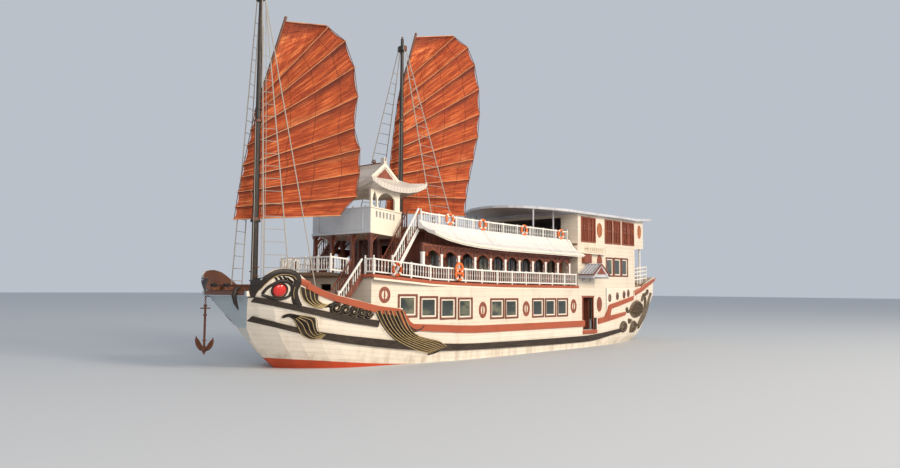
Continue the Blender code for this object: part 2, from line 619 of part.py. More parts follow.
def build_arcade():
    """Veranda posts with bracketed arches under an eave beam."""
    shape, beam, arches = Shape(), Shape(), Shape()
    half = POST_WIDE / 2
    for i in range(POST_COUNT):
        x = POST_FIRST - i * POST_SPACING
        shape.box((x - half, x + half), (POST_Y - half, POST_Y + half), (MAIN_DECK + GAP, EAVE_BEAM_Z + 0.06))
    last = POST_FIRST - (POST_COUNT - 1) * POST_SPACING
    beam.box((last - 0.4, POST_FIRST + half), (POST_Y - 0.06, POST_Y + 0.06), (EAVE_BEAM_Z, EAVE_BEAM_Z + 0.14))
    for i in range(POST_COUNT - 1):
        aft, fore = POST_FIRST - (i + 1) * POST_SPACING + half - 0.01, POST_FIRST - i * POST_SPACING - half + 0.01
        plate = arch(aft, fore, EAVE_BEAM_Z - 0.58, EAVE_BEAM_Z - 0.08, EAVE_BEAM_Z + 0.02)
        arches.prism(plate, "y", POST_Y - 0.03, POST_Y + 0.03)
    for side in ("port", "starboard"):
        flip = (lambda s: s.mirrored()) if side == "starboard" else (lambda s: s)
        frame = Shape().add(shape).with_sheer()
        item = solid(f"arcade_{side}", flip(frame), TIMBER)
        weld(item, flip(Shape().add(beam).with_sheer()), "beam")
        weld(item, flip(Shape().add(arches).with_sheer()), "arches")


def build_main_cabin():
    top = UPPER_DECK - DECK_THICK - GAP
    outer = Shape().box((CABIN_AFT, CABIN_FRONT), (-CABIN_HALF, CABIN_HALF), (MAIN_DECK + GAP, top)).with_sheer()
    item = solid("main_cabin", outer, TIMBER)
    room = Shape()
    room.box((CABIN_AFT + WALL, CABIN_FRONT - WALL), (-CABIN_HALF + WALL, CABIN_HALF - WALL), (MAIN_DECK - 1, top + 1))
    cut(item, room, "room")
    windows = Shape()
    for i in range(9):
        fore = POST_FIRST - POST_SPACING - 0.25 - i * POST_SPACING
        windows.box((fore - 0.96, fore), (2, 4), (MAIN_DECK + 0.75, MAIN_DECK + 2.05))
    cut(item, windows.both_sides().with_sheer(), "windows")
    doors = Shape()
    doors.box((CABIN_FRONT - 1, CABIN_FRONT + 1), (-0.8, 0.8), (MAIN_DECK - 0.2, MAIN_DECK + 2.1))
    cut(item, doors.with_sheer(), "front_door")


def canopy_lift(x):
    """How far the eave turns up towards its front tip."""
    return 0.46 * max(0.0, (x - 3.0) / 6.3) ** 3


def build_canopy():
    # columns: half-breadth, height above and below the skin
    profile = ((UPPER_HALF + GAP, 7.46, 7.00), (3.90, 6.98, 6.84), (4.28, 6.62, 6.46), (4.74, 6.42, 6.22))
    rings = []
    for x in spread(CABIN_AFT - 0.04, 9.32, 13):
        lift = canopy_lift(x)
        share = [0.15, 0.45, 0.75, 1.0]
        flare = 0.12 * lift
        upper = [(x, y + flare * s, high + lift * s) for (y, high, _), s in zip(profile, share)]
        lower = [(x, y + flare * s, low + lift * s) for (y, _, low), s in zip(profile, share)]
        rings.append(upper + lower[::-1])
    shape = Shape().loft(rings)
    for side in ("port", "starboard"):
        copy = Shape().add(shape).with_sheer()
        solid(f"canopy_{side}", copy if side == "port" else copy.mirrored(), WHITE)


def build_upper_deck():
    port = [(x, wall_half(x, UPPER_DECK) - SKIRT - GAP) for x in (AFT_OVERHANG + SKIRT + GAP, AFT_REAR, -12.0, AFT_FRONT)]
    port += [(AFT_FRONT, UPPER_HALF), (UPPER_FRONT, UPPER_HALF), (UPPER_FRONT, STAIR_OUT), (LANDING_FRONT, STAIR_OUT),
             (LANDING_FRONT, NOSE_HALF), (UPPER_NOSE, NOSE_HALF)]
    outline = port + [(x, -y) for x, y in port[::-1]]
    solid("upper_deck", Shape().prism(outline, "z", UPPER_DECK - DECK_THICK, UPPER_DECK).with_sheer(), DECKING)


def build_upper_rails():
    path = [(AFT_FRONT + 0.2, UPPER_RAIL_Y), (LANDING_FRONT - 0.10, UPPER_RAIL_Y)]
    railing("upper_rail_port", path, UPPER_DECK, UPPER_BARS, WHITE, 1.43)
    railing("upper_rail_starboard", mirror_path(path), UPPER_DECK, UPPER_BARS, WHITE, 1.43)


def wall_half(x, floor):
    """The aft house's outer face. It narrows with the stern, and its upper storey stands a little proud."""
    return interpolate(AFT_SIDES, x) - (0.02 if floor == MAIN_DECK else 0.0)


def build_aft_house():
    """Two storeys whose walls hang down over the decks' edges."""
    for name, rear, floor, head in (("aft_house_main", AFT_REAR, MAIN_DECK, UPPER_DECK - DECK_THICK),
                                    ("aft_house_upper", AFT_OVERHANG, UPPER_DECK, ROOF_Z)):

        def outline(inset, aft, fore):
            port = [(aft, wall_half(max(aft, rear), floor) - inset)]
            port += [(x, wall_half(x, floor) - inset) for x in (AFT_REAR, -12.0) if x > aft]
            port.append((fore, wall_half(AFT_FRONT, floor) - inset))
            return port + [(x, -y) for x, y in port[::-1]]

        walls = Shape().prism(outline(0, rear, AFT_FRONT), "z", floor - DECK_THICK, head - GAP)
        item = solid(name, walls.with_sheer(), CREAM)
        cut(item, Shape().prism(outline(WALL, rear + WALL, AFT_FRONT - WALL), "z", floor - 1, head + 2), "room")
        seat_aft = rear - 1 if floor == MAIN_DECK else rear + SKIRT
        cut(item, Shape().prism(outline(SKIRT, seat_aft, AFT_FRONT + 1), "z", floor - 1, floor + GAP).with_sheer(), "deck_seat")
        doors = Shape()
        if floor == MAIN_DECK:
            cut(item, window_boxes(AFT_WINDOWS, AFT_SILL, AFT_HEAD), "windows")
            doors.box((AFT_FRONT - 1, AFT_FRONT + 1), (-0.5, 0.5), (floor - 0.1, floor + 2.0))
            doors.box((rear - 1, rear + 1), (-0.5, 0.5), (floor - 0.1, floor + 2.0))
        else:
            cut(item, window_boxes(SHUTTERS, SHUTTER_SILL, SHUTTER_HEAD), "windows")
            doors.box((AFT_FRONT - 1, AFT_FRONT + 1), (-LOUNGE_HALF, LOUNGE_HALF), (floor - 0.1, floor + 1.85))
            doors.box((rear - 1, rear + 1), (-1.5, 1.5), (floor + 0.9, floor + 1.8))
        cut(item, doors.with_sheer(), "doorways")


def build_aft_roof():
    """The roof over the aft house, carried forward on posts as a rounded sun-deck awning."""
    rings = []
    for x in AFT_ROOF_SECTIONS:
        half = min(AFT_ROOF_HALF, wall_half(x, UPPER_DECK) + 0.40)
        if x > AWNING_SQUARE:
            reach = (AWNING_FRONT - x) / (AWNING_FRONT - AWNING_SQUARE)
            half = AFT_ROOF_HALF * reach ** 0.45
        upper = [(x, y * half, ROOF_Z + 0.16 + AWNING_CROWN * (1 - (y * half / AFT_ROOF_HALF) ** 2)) for y in spread(-1, 1, 9)]
        if x > AFT_FRONT:
            lower = [(x, y, z - 0.16) for x, y, z in upper[::-1]]
        else:
            lower = [(x, y, ROOF_Z) for x, y, _ in upper[::-1]]
        rings.append(upper + lower)
    item = solid("aft_roof", Shape().loft(rings, folded=True).with_sheer(), WHITE)
    posts = Shape()
    for x, y in ((-4.3, UPPER_RAIL_Y - 0.12), (-2.6, UPPER_RAIL_Y - 0.60)):
        posts.box((x - 0.04, x + 0.04), (y - 0.04, y + 0.04), (UPPER_DECK + GAP, ROOF_Z + 0.22))
    weld(item, posts.both_sides().with_sheer(), "posts")


def build_stern():
    """Bulwark round the stern, with its capping, and the rail of the stern gallery."""
    item = solid("stern_bulwark", hull_shell(), CREAM)
    fore = STERN_CAP[1][0]
    top = [(x, high - 0.05) for x, _, high in STERN_CAP[1:]]
    above = [(fore, -ABOVE), (fore, top[0][1])] + top[1:] + [(-BEYOND, top[-1][1]), (-BEYOND, ABOVE), (BEYOND, ABOVE),
                                                            (BEYOND, -ABOVE)]
    cut(item, Shape().prism(above, "y", -BESIDE, BESIDE), "above_top")
    floor = [(x, MAIN_DECK - DECK_THICK + sheer(x) + GAP) for x in (-19.5, AFT_REAR)]
    below = floor + [(AFT_REAR, -ABOVE), (-BEYOND, -ABOVE), (-BEYOND, floor[0][1])]
    cut(item, Shape().prism(below, "y", -BESIDE, BESIDE), "below_deck")
    inner = hull_shell(-BULWARK_THICK)
    bmesh.ops.translate(inner.bm, verts=inner.bm.verts[:], vec=(BULWARK_THICK, 0, 0))
    cut(item, inner, "inside")
    weld(item, side_strip(STERN_CAP, 0.10, 0.9).both_sides(), "caps")
    x, y = station_point(-15.9, STERN_CAP[-1][2])
    weld(item, Shape().box((x - 0.06, x + 0.12), (-y - 0.04, y + 0.04), (STERN_CAP[-1][2] - 0.16, STERN_CAP[-1][2] + 0.02)),
         "taffrail")
    cut(item, hull_body(), "hull_side")
    corner = (GALLERY_END + 0.25, gallery_edge(GALLERY_END + 0.25) - 0.10)
    start = (AFT_REAR - 0.12, gallery_edge(AFT_REAR) - 0.10)
    path = [start, corner, (corner[0], -corner[1]), (start[0], -start[1])]
    rail = railing("stern_rail", path, MAIN_DECK, GALLERY_BARS, WHITE, 1.1)
    x = AFT_OVERHANG + 0.15
    y = start[1] + (corner[1] - start[1]) * (x - start[0]) / (corner[0] - start[0])
    posts = Shape().box((x - 0.06, x + 0.06), (y - 0.06, y + 0.06), (MAIN_DECK + GAP, UPPER_DECK - DECK_THICK - GAP))
    weld(rail, posts.both_sides().with_sheer(), "overhang_posts")


def stair(name, top, foot, width, steps, finish, rail_high, flip):
    """A straight stair between two decks. Ends are x and z."""
    (x0, z0), (x1, z1) = top, foot
    treads, sides, rails = Shape(), Shape(), Shape()
    y0, y1 = width
    for i in range(1, steps):
        share = i / steps
        x, z = x0 + share * (x1 - x0), z0 + share * (z1 - z0)
        treads.box((x - 0.11, x + 0.13), (y0 + 0.03, y1 - 0.03), (z - 0.05, z))
    for y in (y0, y1 - 0.06):
        sides.prism(((x0 + GAP, z0 - 0.30), (x0 + GAP, z0 - 0.02), (x0 + 0.10, z0), (x1 + 0.12, z1 + 0.14), (x1 + 0.12, z1),
                     (x1 - 0.22, z1)), "y", y, y + 0.06)
        for share in (0.06, 0.5, 0.94):
            x, z = x0 + share * (x1 - x0), z0 + share * (z1 - z0)
            rails.box((x - 0.03, x + 0.03), (y + 0.002, y + 0.058), (z - 0.05, z + rail_high))
    bars = Shape()
    for y in (y0 + 0.03, y1 - 0.03):
        a, b = 0.0, 0.97
        bars.beam((x0 + a * (x1 - x0), y, z0 + a * (z1 - z0) + rail_high - 0.03),
                  (x0 + b * (x1 - x0), y, z0 + b * (z1 - z0) + rail_high - 0.03), 0.07, 0.08)
    if flip:
        treads, sides, rails, bars = (s.mirrored() for s in (treads, sides, rails, bars))
    item = solid(name, sides, finish)
    weld(item, treads, "treads")
    weld(item, rails, "posts")
    weld(item, bars, "handrails")


def build_stairs():
    deck, foot_x = MAIN_DECK + sheer(WING_FRONT), 11.05
    upper = UPPER_DECK + sheer(LANDING_FRONT)
    for side, flip in (("port", False), ("starboard", True)):
        stair(f"fore_stair_{side}", (WING_FRONT + GAP, deck), (14.38, FOREDECK + GAP), FORE_STAIR, 9, STRAKE, 0.80, flip)
        stair(f"upper_stair_{side}", (LANDING_FRONT + GAP, upper), (foot_x, MAIN_DECK + sheer(foot_x + 0.12) + GAP),
              (STAIR_IN, STAIR_OUT), 14, WHITE, 1.0, flip)


def build_pavilion():
    """Pavilion on legs: its parapet with slots, its arched frame and its swept roof."""
    base = Shape().box((PAV_AFT, PAV_FORE), (-PAV_HALF, PAV_HALF), (PAV_FLOOR, PAV_PARAPET)).with_sheer()
    item = solid("pavilion_base", base, CREAM)
    room = Shape().box((PAV_AFT - 0.5, PAV_FORE - 0.10), (-PAV_HALF + 0.10, PAV_HALF - 0.10), (UPPER_DECK, PAV_PARAPET + 1))
    cut(item, room.with_sheer(), "room")
    slots = Shape()
    for x in spread(PAV_AFT + PAV_COLUMN + 0.20, PAV_FORE - 0.42, 6):
        slots.box((x - 0.07, x + 0.07), (1.0, BESIDE), (PAV_PARAPET - 0.48, PAV_PARAPET - 0.15))
    cut(item, slots.both_sides().with_sheer(), "slots")
    legs = Shape()
    for x in (PAV_AFT + 0.12, PAV_FORE - 0.12):
        for y in (PAV_HALF - 0.12, 0.85):
            legs.box((x - 0.08, x + 0.08), (y - 0.08, y + 0.08), (MAIN_DECK + GAP, PAV_FLOOR + 0.05))
    weld(item, legs.both_sides().with_sheer(), "legs")
    high = PAV_EAVE + sheer(PAV_FORE)
    build_pavilion_frame(high)
    build_pavilion_roof(high + GAP)


def build_pavilion_frame(high):
    """Corner columns and a thin post in each side, joined by arched plates."""
    thin, plate = 0.12, 0.08
    posts = Shape()
    for aft, fore in ((PAV_AFT + thin, PAV_AFT + thin + PAV_COLUMN), (PAV_FORE - 0.52, PAV_FORE - 0.44), (PAV_FORE - thin, PAV_FORE)):
        posts.box((aft, fore), (PAV_HALF - thin, PAV_HALF), (PAV_PARAPET + GAP, high))
    posts = posts.both_sides()
    for vert in posts.bm.verts:
        if vert.co.z < high - 0.1:
            vert.co.z += sheer(vert.co.x)
    frame = solid("pavilion_frame", posts, CREAM)
    sides, front = Shape(), Shape()
    low, crown = high - 0.55, high - 0.14
    for aft, fore in ((PAV_AFT + thin + PAV_COLUMN - 0.01, PAV_FORE - 0.51), (PAV_FORE - 0.45, PAV_FORE - thin + 0.01)):
        sides.prism(arch(aft, fore, low, crown, high), "y", PAV_HALF - plate, PAV_HALF - 0.01)
    weld(frame, sides.both_sides(), "side_arches")
    bays = spread(-PAV_HALF + thin - 0.01, PAV_HALF - thin + 0.01, 6)
    for left, right in zip(bays, bays[1:]):
        front.prism(arch(left, right, low, crown, high), "x", PAV_FORE - plate, PAV_FORE - 0.01)
    weld(frame, front, "front_arches")
    rear = Shape().beam((PAV_AFT + thin + 0.06, -PAV_HALF + 0.02, high - 0.09), (PAV_AFT + thin + 0.06, PAV_HALF - 0.02, high - 0.09),
                        0.09, 0.17)
    weld(frame, rear, "rear_beam")


def roof_ring(fore, aft, half, z, lift):
    """A rectangular ring whose edges sweep up towards its corners."""
    middle, reach = (fore + aft) / 2, (fore - aft) / 2
    shares = spread(-1, 1, 7)[:-1]
    heights = [z + lift * abs(share) ** 2.4 for share in shares]
    ring = [(middle + share * reach, -half, h) for share, h in zip(shares, heights)]
    ring += [(fore, share * half, h) for share, h in zip(shares, heights)]
    ring += [(middle - share * reach, half, h) for share, h in zip(shares, heights)]
    return ring + [(aft, -share * half, h) for share, h in zip(shares, heights)]


def build_pavilion_roof(seat):
    rings = [
        roof_ring(PAV_FORE + 0.02, PAV_AFT - 0.02, PAV_HALF + 0.02, seat, 0.0),
        roof_ring(PAV_ROOF_FORE, PAV_ROOF_AFT, PAV_ROOF_HALF, seat - 0.10, 0.44),
        roof_ring(PAV_ROOF_FORE + 0.03, PAV_ROOF_AFT - 0.03, PAV_ROOF_HALF + 0.03, seat + 0.20, 0.40),
        roof_ring(PAV_ROOF_FORE - 0.42, PAV_ROOF_AFT + 0.90, PAV_ROOF_HALF - 0.45, seat + 0.46, 0.10),
        roof_ring(PAV_ROOF_FORE - 0.62, PAV_ROOF_AFT + 1.60, PAV_ROOF_HALF - 0.78, seat + 0.74, 0.0),
    ]
    item = solid("pavilion_roof", Shape().loft(rings), CREAM)
    middle = (PAV_FORE + PAV_AFT) / 2 + 0.05
    gable = Shape().prism(((middle - 0.95, seat + 0.62), (middle, seat + 1.40), (middle + 0.95, seat + 0.62)),
                          "y", -2.30, 2.30)
    weld(item, gable, "gable")
    ridge = Shape().box((middle - 0.06, middle + 0.06), (-2.05, 2.05), (seat + 1.30, seat + 1.52))
    for side in (1, -1):
        ridge.box((middle - 0.10, middle + 0.10), sorted((side * 2.07, side * 2.34)), (seat + 1.24, seat + 1.80))
    weld(item, ridge, "ridge")


def build_porches():
    """Small gabled roofs over the side doors."""
    middle, half, out = (DOOR_FORE + DOOR_AFT) / 2 + 0.1, 1.15, 5.45
    wall = wall_half(AFT_FRONT, MAIN_DECK) + GAP
    eave, apex = 4.80, 5.72
    chevron = ((middle - half, eave), (middle, apex), (middle + half, eave), (middle + half - 0.16, eave - 0.02),
               (middle, apex - 0.14), (middle - half + 0.16, eave - 0.02))
    for side in ("port", "starboard"):
        keep = (lambda s: s) if side == "port" else (lambda s: s.mirrored())
        item = solid(f"porch_{side}", keep(Shape().prism(chevron, "y", wall, out)), WHITE)
        board = Shape().prism(((middle - half + 0.20, eave + 0.06), (middle, apex - 0.08), (middle + half - 0.20, eave + 0.06)),
                              "y", out - 0.12, out - 0.06)
        weld(item, keep(board), "gable_board")
        braces = Shape()
        for x in (middle - 0.55, middle + 0.48):
            braces.prism(((wall, 4.55), (wall, 5.23), (out - 0.3, 5.23), (out - 0.3, 5.08)), "x", x, x + 0.07)
        weld(item, keep(braces), "braces")


def build_doors():
    """Pairs of leaves at both side doorways, folded back inboard as shown."""
    hinge_y = half_breadth(DOOR_FORE, 2.0) - RIM - 0.05
    wide = (DOOR_FORE - DOOR_AFT) / 2 - 0.035 - 0.004
    for side, sign in (("port", 1), ("starboard", -1)):
        for end, x in (("fore", DOOR_FORE - 0.035), ("aft", DOOR_AFT + 0.035)):
            half = LEAF_THICK / 2
            low = HOLD_FLOOR + LEAF_LIFT
            leaf = Shape().box((x - half, x + half), sorted((sign * hinge_y, sign * (hinge_y - wide))), (low, DOOR_HEAD - 0.02))
            item = solid(f"side_door_{side}_{end}", leaf, TIMBER, (x, sign * hinge_y, low))
            pin = Shape().rod((x, sign * hinge_y, HOLD_FLOOR + GAP), (x, sign * hinge_y, DOOR_HEAD - 0.01), half, 12)
            weld(item, pin, "pin")


def mast_radius(mast, z):
    _, foot, top, low, high = mast
    return low + (high - low) * (z - foot) / (top - foot)


def build_mast(name, mast, foot, collar_heights):
    x, _, top, low, high = mast
    item = solid(name, Shape().rod((x, 0, foot + GAP), (x, 0, top), low, MAST_SIDES, high), MAST)
    rings = Shape()
    for z in collar_heights:
        rings.rod((x, 0, z - 0.09), (x, 0, z), mast_radius(mast, z) + 0.09, MAST_SIDES)
    weld(item, rings, "shoulders")
    head = Shape().box((x - 0.17, x + 0.17), (-0.17, 0.17), (top - 0.75, top - 0.45))
    weld(item, head, "mast_band")


def batten_point(rows, index, share):
    """A point along one batten, as reach, height and belly. The head and the boom are straight."""
    luff, luff_z, leech, leech_z = rows[index]
    belly = SAIL_CAMBER * sin(pi * index / (len(rows) - 1)) * 4 * share * (1 - share)
    return luff + share * (leech - luff), luff_z + share * (leech_z - luff_z), belly


def build_sail(name, mast, angle, rows, yard_row, collars):
    """Cloth, battens, yard and boom, and the collars that hold them to the mast."""
    mast_x = mast[0]
    along, away = Vector((-cos(angle), sin(angle), 0)), Vector((-sin(angle), -cos(angle), 0))

    def place(reach, z, off):
        return Vector((mast_x, 0, z)) + along * reach + away * off

    rings = []
    for i in range(SAIL_COLUMNS + 1):
        front, back = [], []
        for index in reversed(range(len(rows))):
            reach, z, belly = batten_point(rows, index, i / SAIL_COLUMNS)
            thick = BATTEN if 0 < index < len(rows) - 1 else 0.075
            for lift, proud in ((-1.3, 0), (0, thick), (1.3, 0)):
                front.append(place(reach, z + lift * thick, SAIL_OFF_MAST + belly - proud))
                back.append(place(reach, z + lift * thick, SAIL_OFF_MAST + belly + CLOTH + proud))
        rings.append(front + back[::-1])
    item = solid(name, Shape().loft(rings, folded=True), SAIL, (mast_x, 0, 0))
    yard = Shape()
    yard.rod(place(rows[yard_row][0] + 0.03, rows[yard_row][1], SAIL_OFF_MAST - 0.05),
             place(rows[0][0] + 0.08, rows[0][1] + 0.25, SAIL_OFF_MAST - 0.05), 0.075)
    weld(item, yard, "yard")
    for index, z in enumerate(collars):
        radius = mast_radius(mast, z) + 0.02
        collar = Shape().rod((mast_x, 0, z + GAP), (mast_x, 0, z + 0.12), radius + 0.05, MAST_SIDES)
        arm = Shape().beam(place(-0.05, z + 0.06, radius), place(-0.05, z + 0.06, SAIL_OFF_MAST + 0.12), 0.10, 0.10)
        weld(item, collar, f"collar_{index}")
        weld(item, arm, f"arm_{index}")
        cut(item, Shape().rod((mast_x, 0, z - 0.5), (mast_x, 0, z + 0.5), radius, MAST_SIDES), f"bore_{index}")


def build_stays(name, mast, top, feet, deck, sign):
    """Stays from the mast's band to plates on a deck. Feet hold x, y and deck height."""
    x = mast[0]
    block_y = 0.17 + GAP
    block = Shape().box((x - 0.12, x + 0.12), sorted((sign * block_y, sign * (block_y + 0.10))), (top - 0.70, top - 0.50))
    item = solid(name, block, ROPE)
    plates = Shape()
    for index, (foot_x, foot_y) in enumerate(feet):
        z = deck(foot_x) + GAP
        start = (x + 0.08 * (1 if foot_x > x else -1), sign * (block_y + 0.05), top - 0.60)
        weld(item, Shape().rod(start, (foot_x, sign * foot_y, z + 0.05), 0.028, 6), f"stay_{index}")
        plates.box((foot_x - 0.12, foot_x + 0.12), sorted((sign * (foot_y - 0.06), sign * (foot_y + 0.06))), (z, z + 0.10))
    weld(item, plates, "plates")


# Heights of the collars that hold each sail to its mast; the first rests on the mast's shoulder
FORE_COLLARS = (7.30, 12.2)
MAIN_COLLARS = (8.44, 14.0)


def build_rig():
    build_mast("foremast", FOREMAST, FOREDECK, FORE_COLLARS[:1])
    deck = UPPER_DECK + sheer(MAINMAST[0] + MAINMAST[3])
    build_mast("mainmast", MAINMAST, deck, MAIN_COLLARS[:1])
    build_sail("foresail", FOREMAST, FORE_ANGLE, FORESAIL, 3, FORE_COLLARS)
    build_sail("mainsail", MAINMAST, MAIN_ANGLE, MAINSAIL, 3, MAIN_COLLARS)
    for side, sign in (("port", 1), ("starboard", -1)):
        build_stays(f"fore_stays_{side}", FOREMAST, FOREMAST[2], ((17.6, 1.45), (16.5, 2.15), (15.2, 2.60)),
                    lambda x: FOREDECK, sign)
        build_stays(f"main_stays_{side}", MAINMAST, MAINMAST[2], ((7.75, 3.30), (5.95, 3.30)),
                    lambda x: UPPER_DECK + sheer(x + 0.12), sign)


def build_rudder():
    blade = Shape().prism(((RUDDER_X + 0.33, RUDDER_FOOT + 0.06), (RUDDER_X + 0.33, RUDDER_TOP - 0.16),
                           (RUDDER_X - 1.15, RUDDER_TOP - 0.05), (RUDDER_X - 1.25, RUDDER_FOOT + 0.10)), "y", -0.05, 0.05)
    item = solid("rudder", blade, IRON, (RUDDER_X, 0, 0))
    weld(item, Shape().rod((RUDDER_X, 0, RUDDER_FOOT), (RUDDER_X, 0, RUDDER_TOP), 0.10, 16), "stock")


def build_propeller(name, y):
    hub = Shape().rod((PROP_X - GAP, y, PROP_Z), (PROP_X - 0.34, y, PROP_Z), 0.11, 16, 0.07)
    item = solid(name, hub, BRONZE, (PROP_X, y, PROP_Z))
    blades = Shape()
    for i in range(4):
        turn = i * pi / 2
        out, across = Vector((0, sin(turn), cos(turn))), Vector((0, cos(turn), -sin(turn)))
        centre = Vector((PROP_X - 0.16, y, PROP_Z))
        rings = []
        for radius, half, twist in ((0.08, 0.05, 0.9), (0.22, 0.13, 0.7), (0.36, 0.14, 0.5), (PROP_R, 0.05, 0.4)):
            chord = across * cos(twist) * half + Vector((1, 0, 0)) * sin(twist) * half
            thin = (across * -sin(twist) + Vector((1, 0, 0)) * cos(twist)) * 0.012
            middle = centre + out * radius
            rings.append([middle - chord - thin, middle + chord - thin, middle + chord + thin, middle - chord + thin])
        blades.loft(rings)
    weld(item, blades, "blades")


def main():
    for item in list(bpy.data.objects):
        bpy.data.objects.remove(item, do_unlink=True)
    build_hull()
    build_planks()
    build_bow_bulwark()
    build_anchor()
    build_lower_house()
    build_main_deck()
    build_main_rails()
    build_arcade()
    build_main_cabin()
    build_canopy()
    build_upper_deck()
    build_upper_rails()
    build_aft_house()
    build_aft_roof()
    build_stern()
    build_stairs()
    build_pavilion()
    build_porches()
    build_doors()
    build_rig()
    build_rudder()
    build_propeller("propeller_port", PROP_Y)
    build_propeller("propeller_starboard", -PROP_Y)


main()
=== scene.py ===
"""Studio scene of a three-deck passenger junk afloat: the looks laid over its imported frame."""
import bpy
import bmesh
from math import atan, cos, hypot, pi, radians, sin
from mathutils import Matrix, Vector


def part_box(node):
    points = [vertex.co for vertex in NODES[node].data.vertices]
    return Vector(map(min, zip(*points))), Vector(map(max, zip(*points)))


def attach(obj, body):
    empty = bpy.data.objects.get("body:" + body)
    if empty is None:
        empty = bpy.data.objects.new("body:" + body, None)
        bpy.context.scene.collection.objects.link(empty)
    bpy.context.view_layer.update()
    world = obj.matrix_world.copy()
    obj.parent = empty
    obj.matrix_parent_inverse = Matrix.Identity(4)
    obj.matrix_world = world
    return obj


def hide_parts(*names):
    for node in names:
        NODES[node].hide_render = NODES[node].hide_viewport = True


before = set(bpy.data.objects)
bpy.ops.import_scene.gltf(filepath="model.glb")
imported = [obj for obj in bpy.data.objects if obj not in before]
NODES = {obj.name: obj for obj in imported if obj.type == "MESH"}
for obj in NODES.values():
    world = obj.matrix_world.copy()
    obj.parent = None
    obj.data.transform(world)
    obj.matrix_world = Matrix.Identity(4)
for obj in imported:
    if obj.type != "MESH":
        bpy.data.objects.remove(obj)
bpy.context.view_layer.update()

VESSEL = "vessel"

# Heights in metres over the water amidships. A deck's own height at a place is one of these and the sheer there.
MAIN_DECK = 4.24
UPPER_DECK = 7.20
SHEER = ((-19.5, 0.45), (-14.6, 0.10), (-5.6, 0.0), (3.0, 0.03), (8.4, 0.13), (13.2, 0.48), (14.4, 0.57))


# ---------------------------------------- curves

def interpolate(table, at):
    """Value of a table at a place, in straight lines between its rows."""
    rows = sorted(table)
    if at <= rows[0][0]:
        return rows[0][1]
    for low, high in zip(rows, rows[1:]):
        if at <= high[0]:
            return low[1] + (at - low[0]) / (high[0] - low[0]) * (high[1] - low[1])
    return rows[-1][1]


def sheer(x):
    return interpolate(SHEER, x)


def spread(first, last, count):
    return [first + (last - first) * i / (count - 1) for i in range(count)]


def smooth_path(points, pieces):
    """A path through points, each a tuple of any length, with a number of pieces between two of them."""
    ends = [points[0]] + list(points) + [points[-1]]
    path = []
    for around in zip(ends, ends[1:], ends[2:], ends[3:]):
        for t in (i / pieces for i in range(pieces)):
            path.append(tuple(0.5 * (2 * b + (c - a) * t + (2 * a - 5 * b + 4 * c - d) * t * t
                                     + (3 * b - a - 3 * c + d) * t ** 3) for a, b, c, d in zip(*around)))
    return path + [tuple(points[-1])]


def along(path, u):
    """The point at a share of a path's pieces."""
    at = u * (len(path) - 1)
    i = min(len(path) - 2, int(at))
    return [a + (b - a) * (at - i) for a, b in zip(path[i], path[i + 1])]


def spiral(middle, size, turns, start, plane="xz", count=22, flip=1):
    """A scroll's path in an upright plane."""
    path = []
    for share in spread(0, 1, count):
        angle, radius = start + flip * share * turns * 2 * pi, size * (1 - 0.85 * share)
        a, b = radius * cos(angle), radius * sin(angle)
        path.append(Vector(middle) + (Vector((a, 0, b)) if plane == "xz" else Vector((0, a, b))))
    return path


# ---------------------------------------- finishes

class Socket:
    """An output of a finish's nodes. Arithmetic on it adds Math nodes."""

    def __init__(self, finish, out):
        self.finish, self.out = finish, out

    def math(self, operation, *values, clamp=False):
        return self.finish.add("ShaderNodeMath", {"operation": operation, "use_clamp": clamp},
                               dict(enumerate((self,) + values)))

    def step(self, low, high):
        """Rises from 0 to 1 between two values, smoothly."""
        return self.finish.add("ShaderNodeMapRange", {"interpolation_type": "SMOOTHSTEP"}, {0: self, 1: low, 2: high})

    def limited(self):
        return self.math("ADD", 0.0, clamp=True)


for method, operation in {"add": "ADD", "sub": "SUBTRACT", "mul": "MULTIPLY", "truediv": "DIVIDE", "abs": "ABSOLUTE",
                          "mod": "FLOORED_MODULO", "lt": "LESS_THAN", "gt": "GREATER_THAN"}.items():
    setattr(Socket, f"__{method}__", lambda self, *value, kind=operation: self.math(kind, *value))


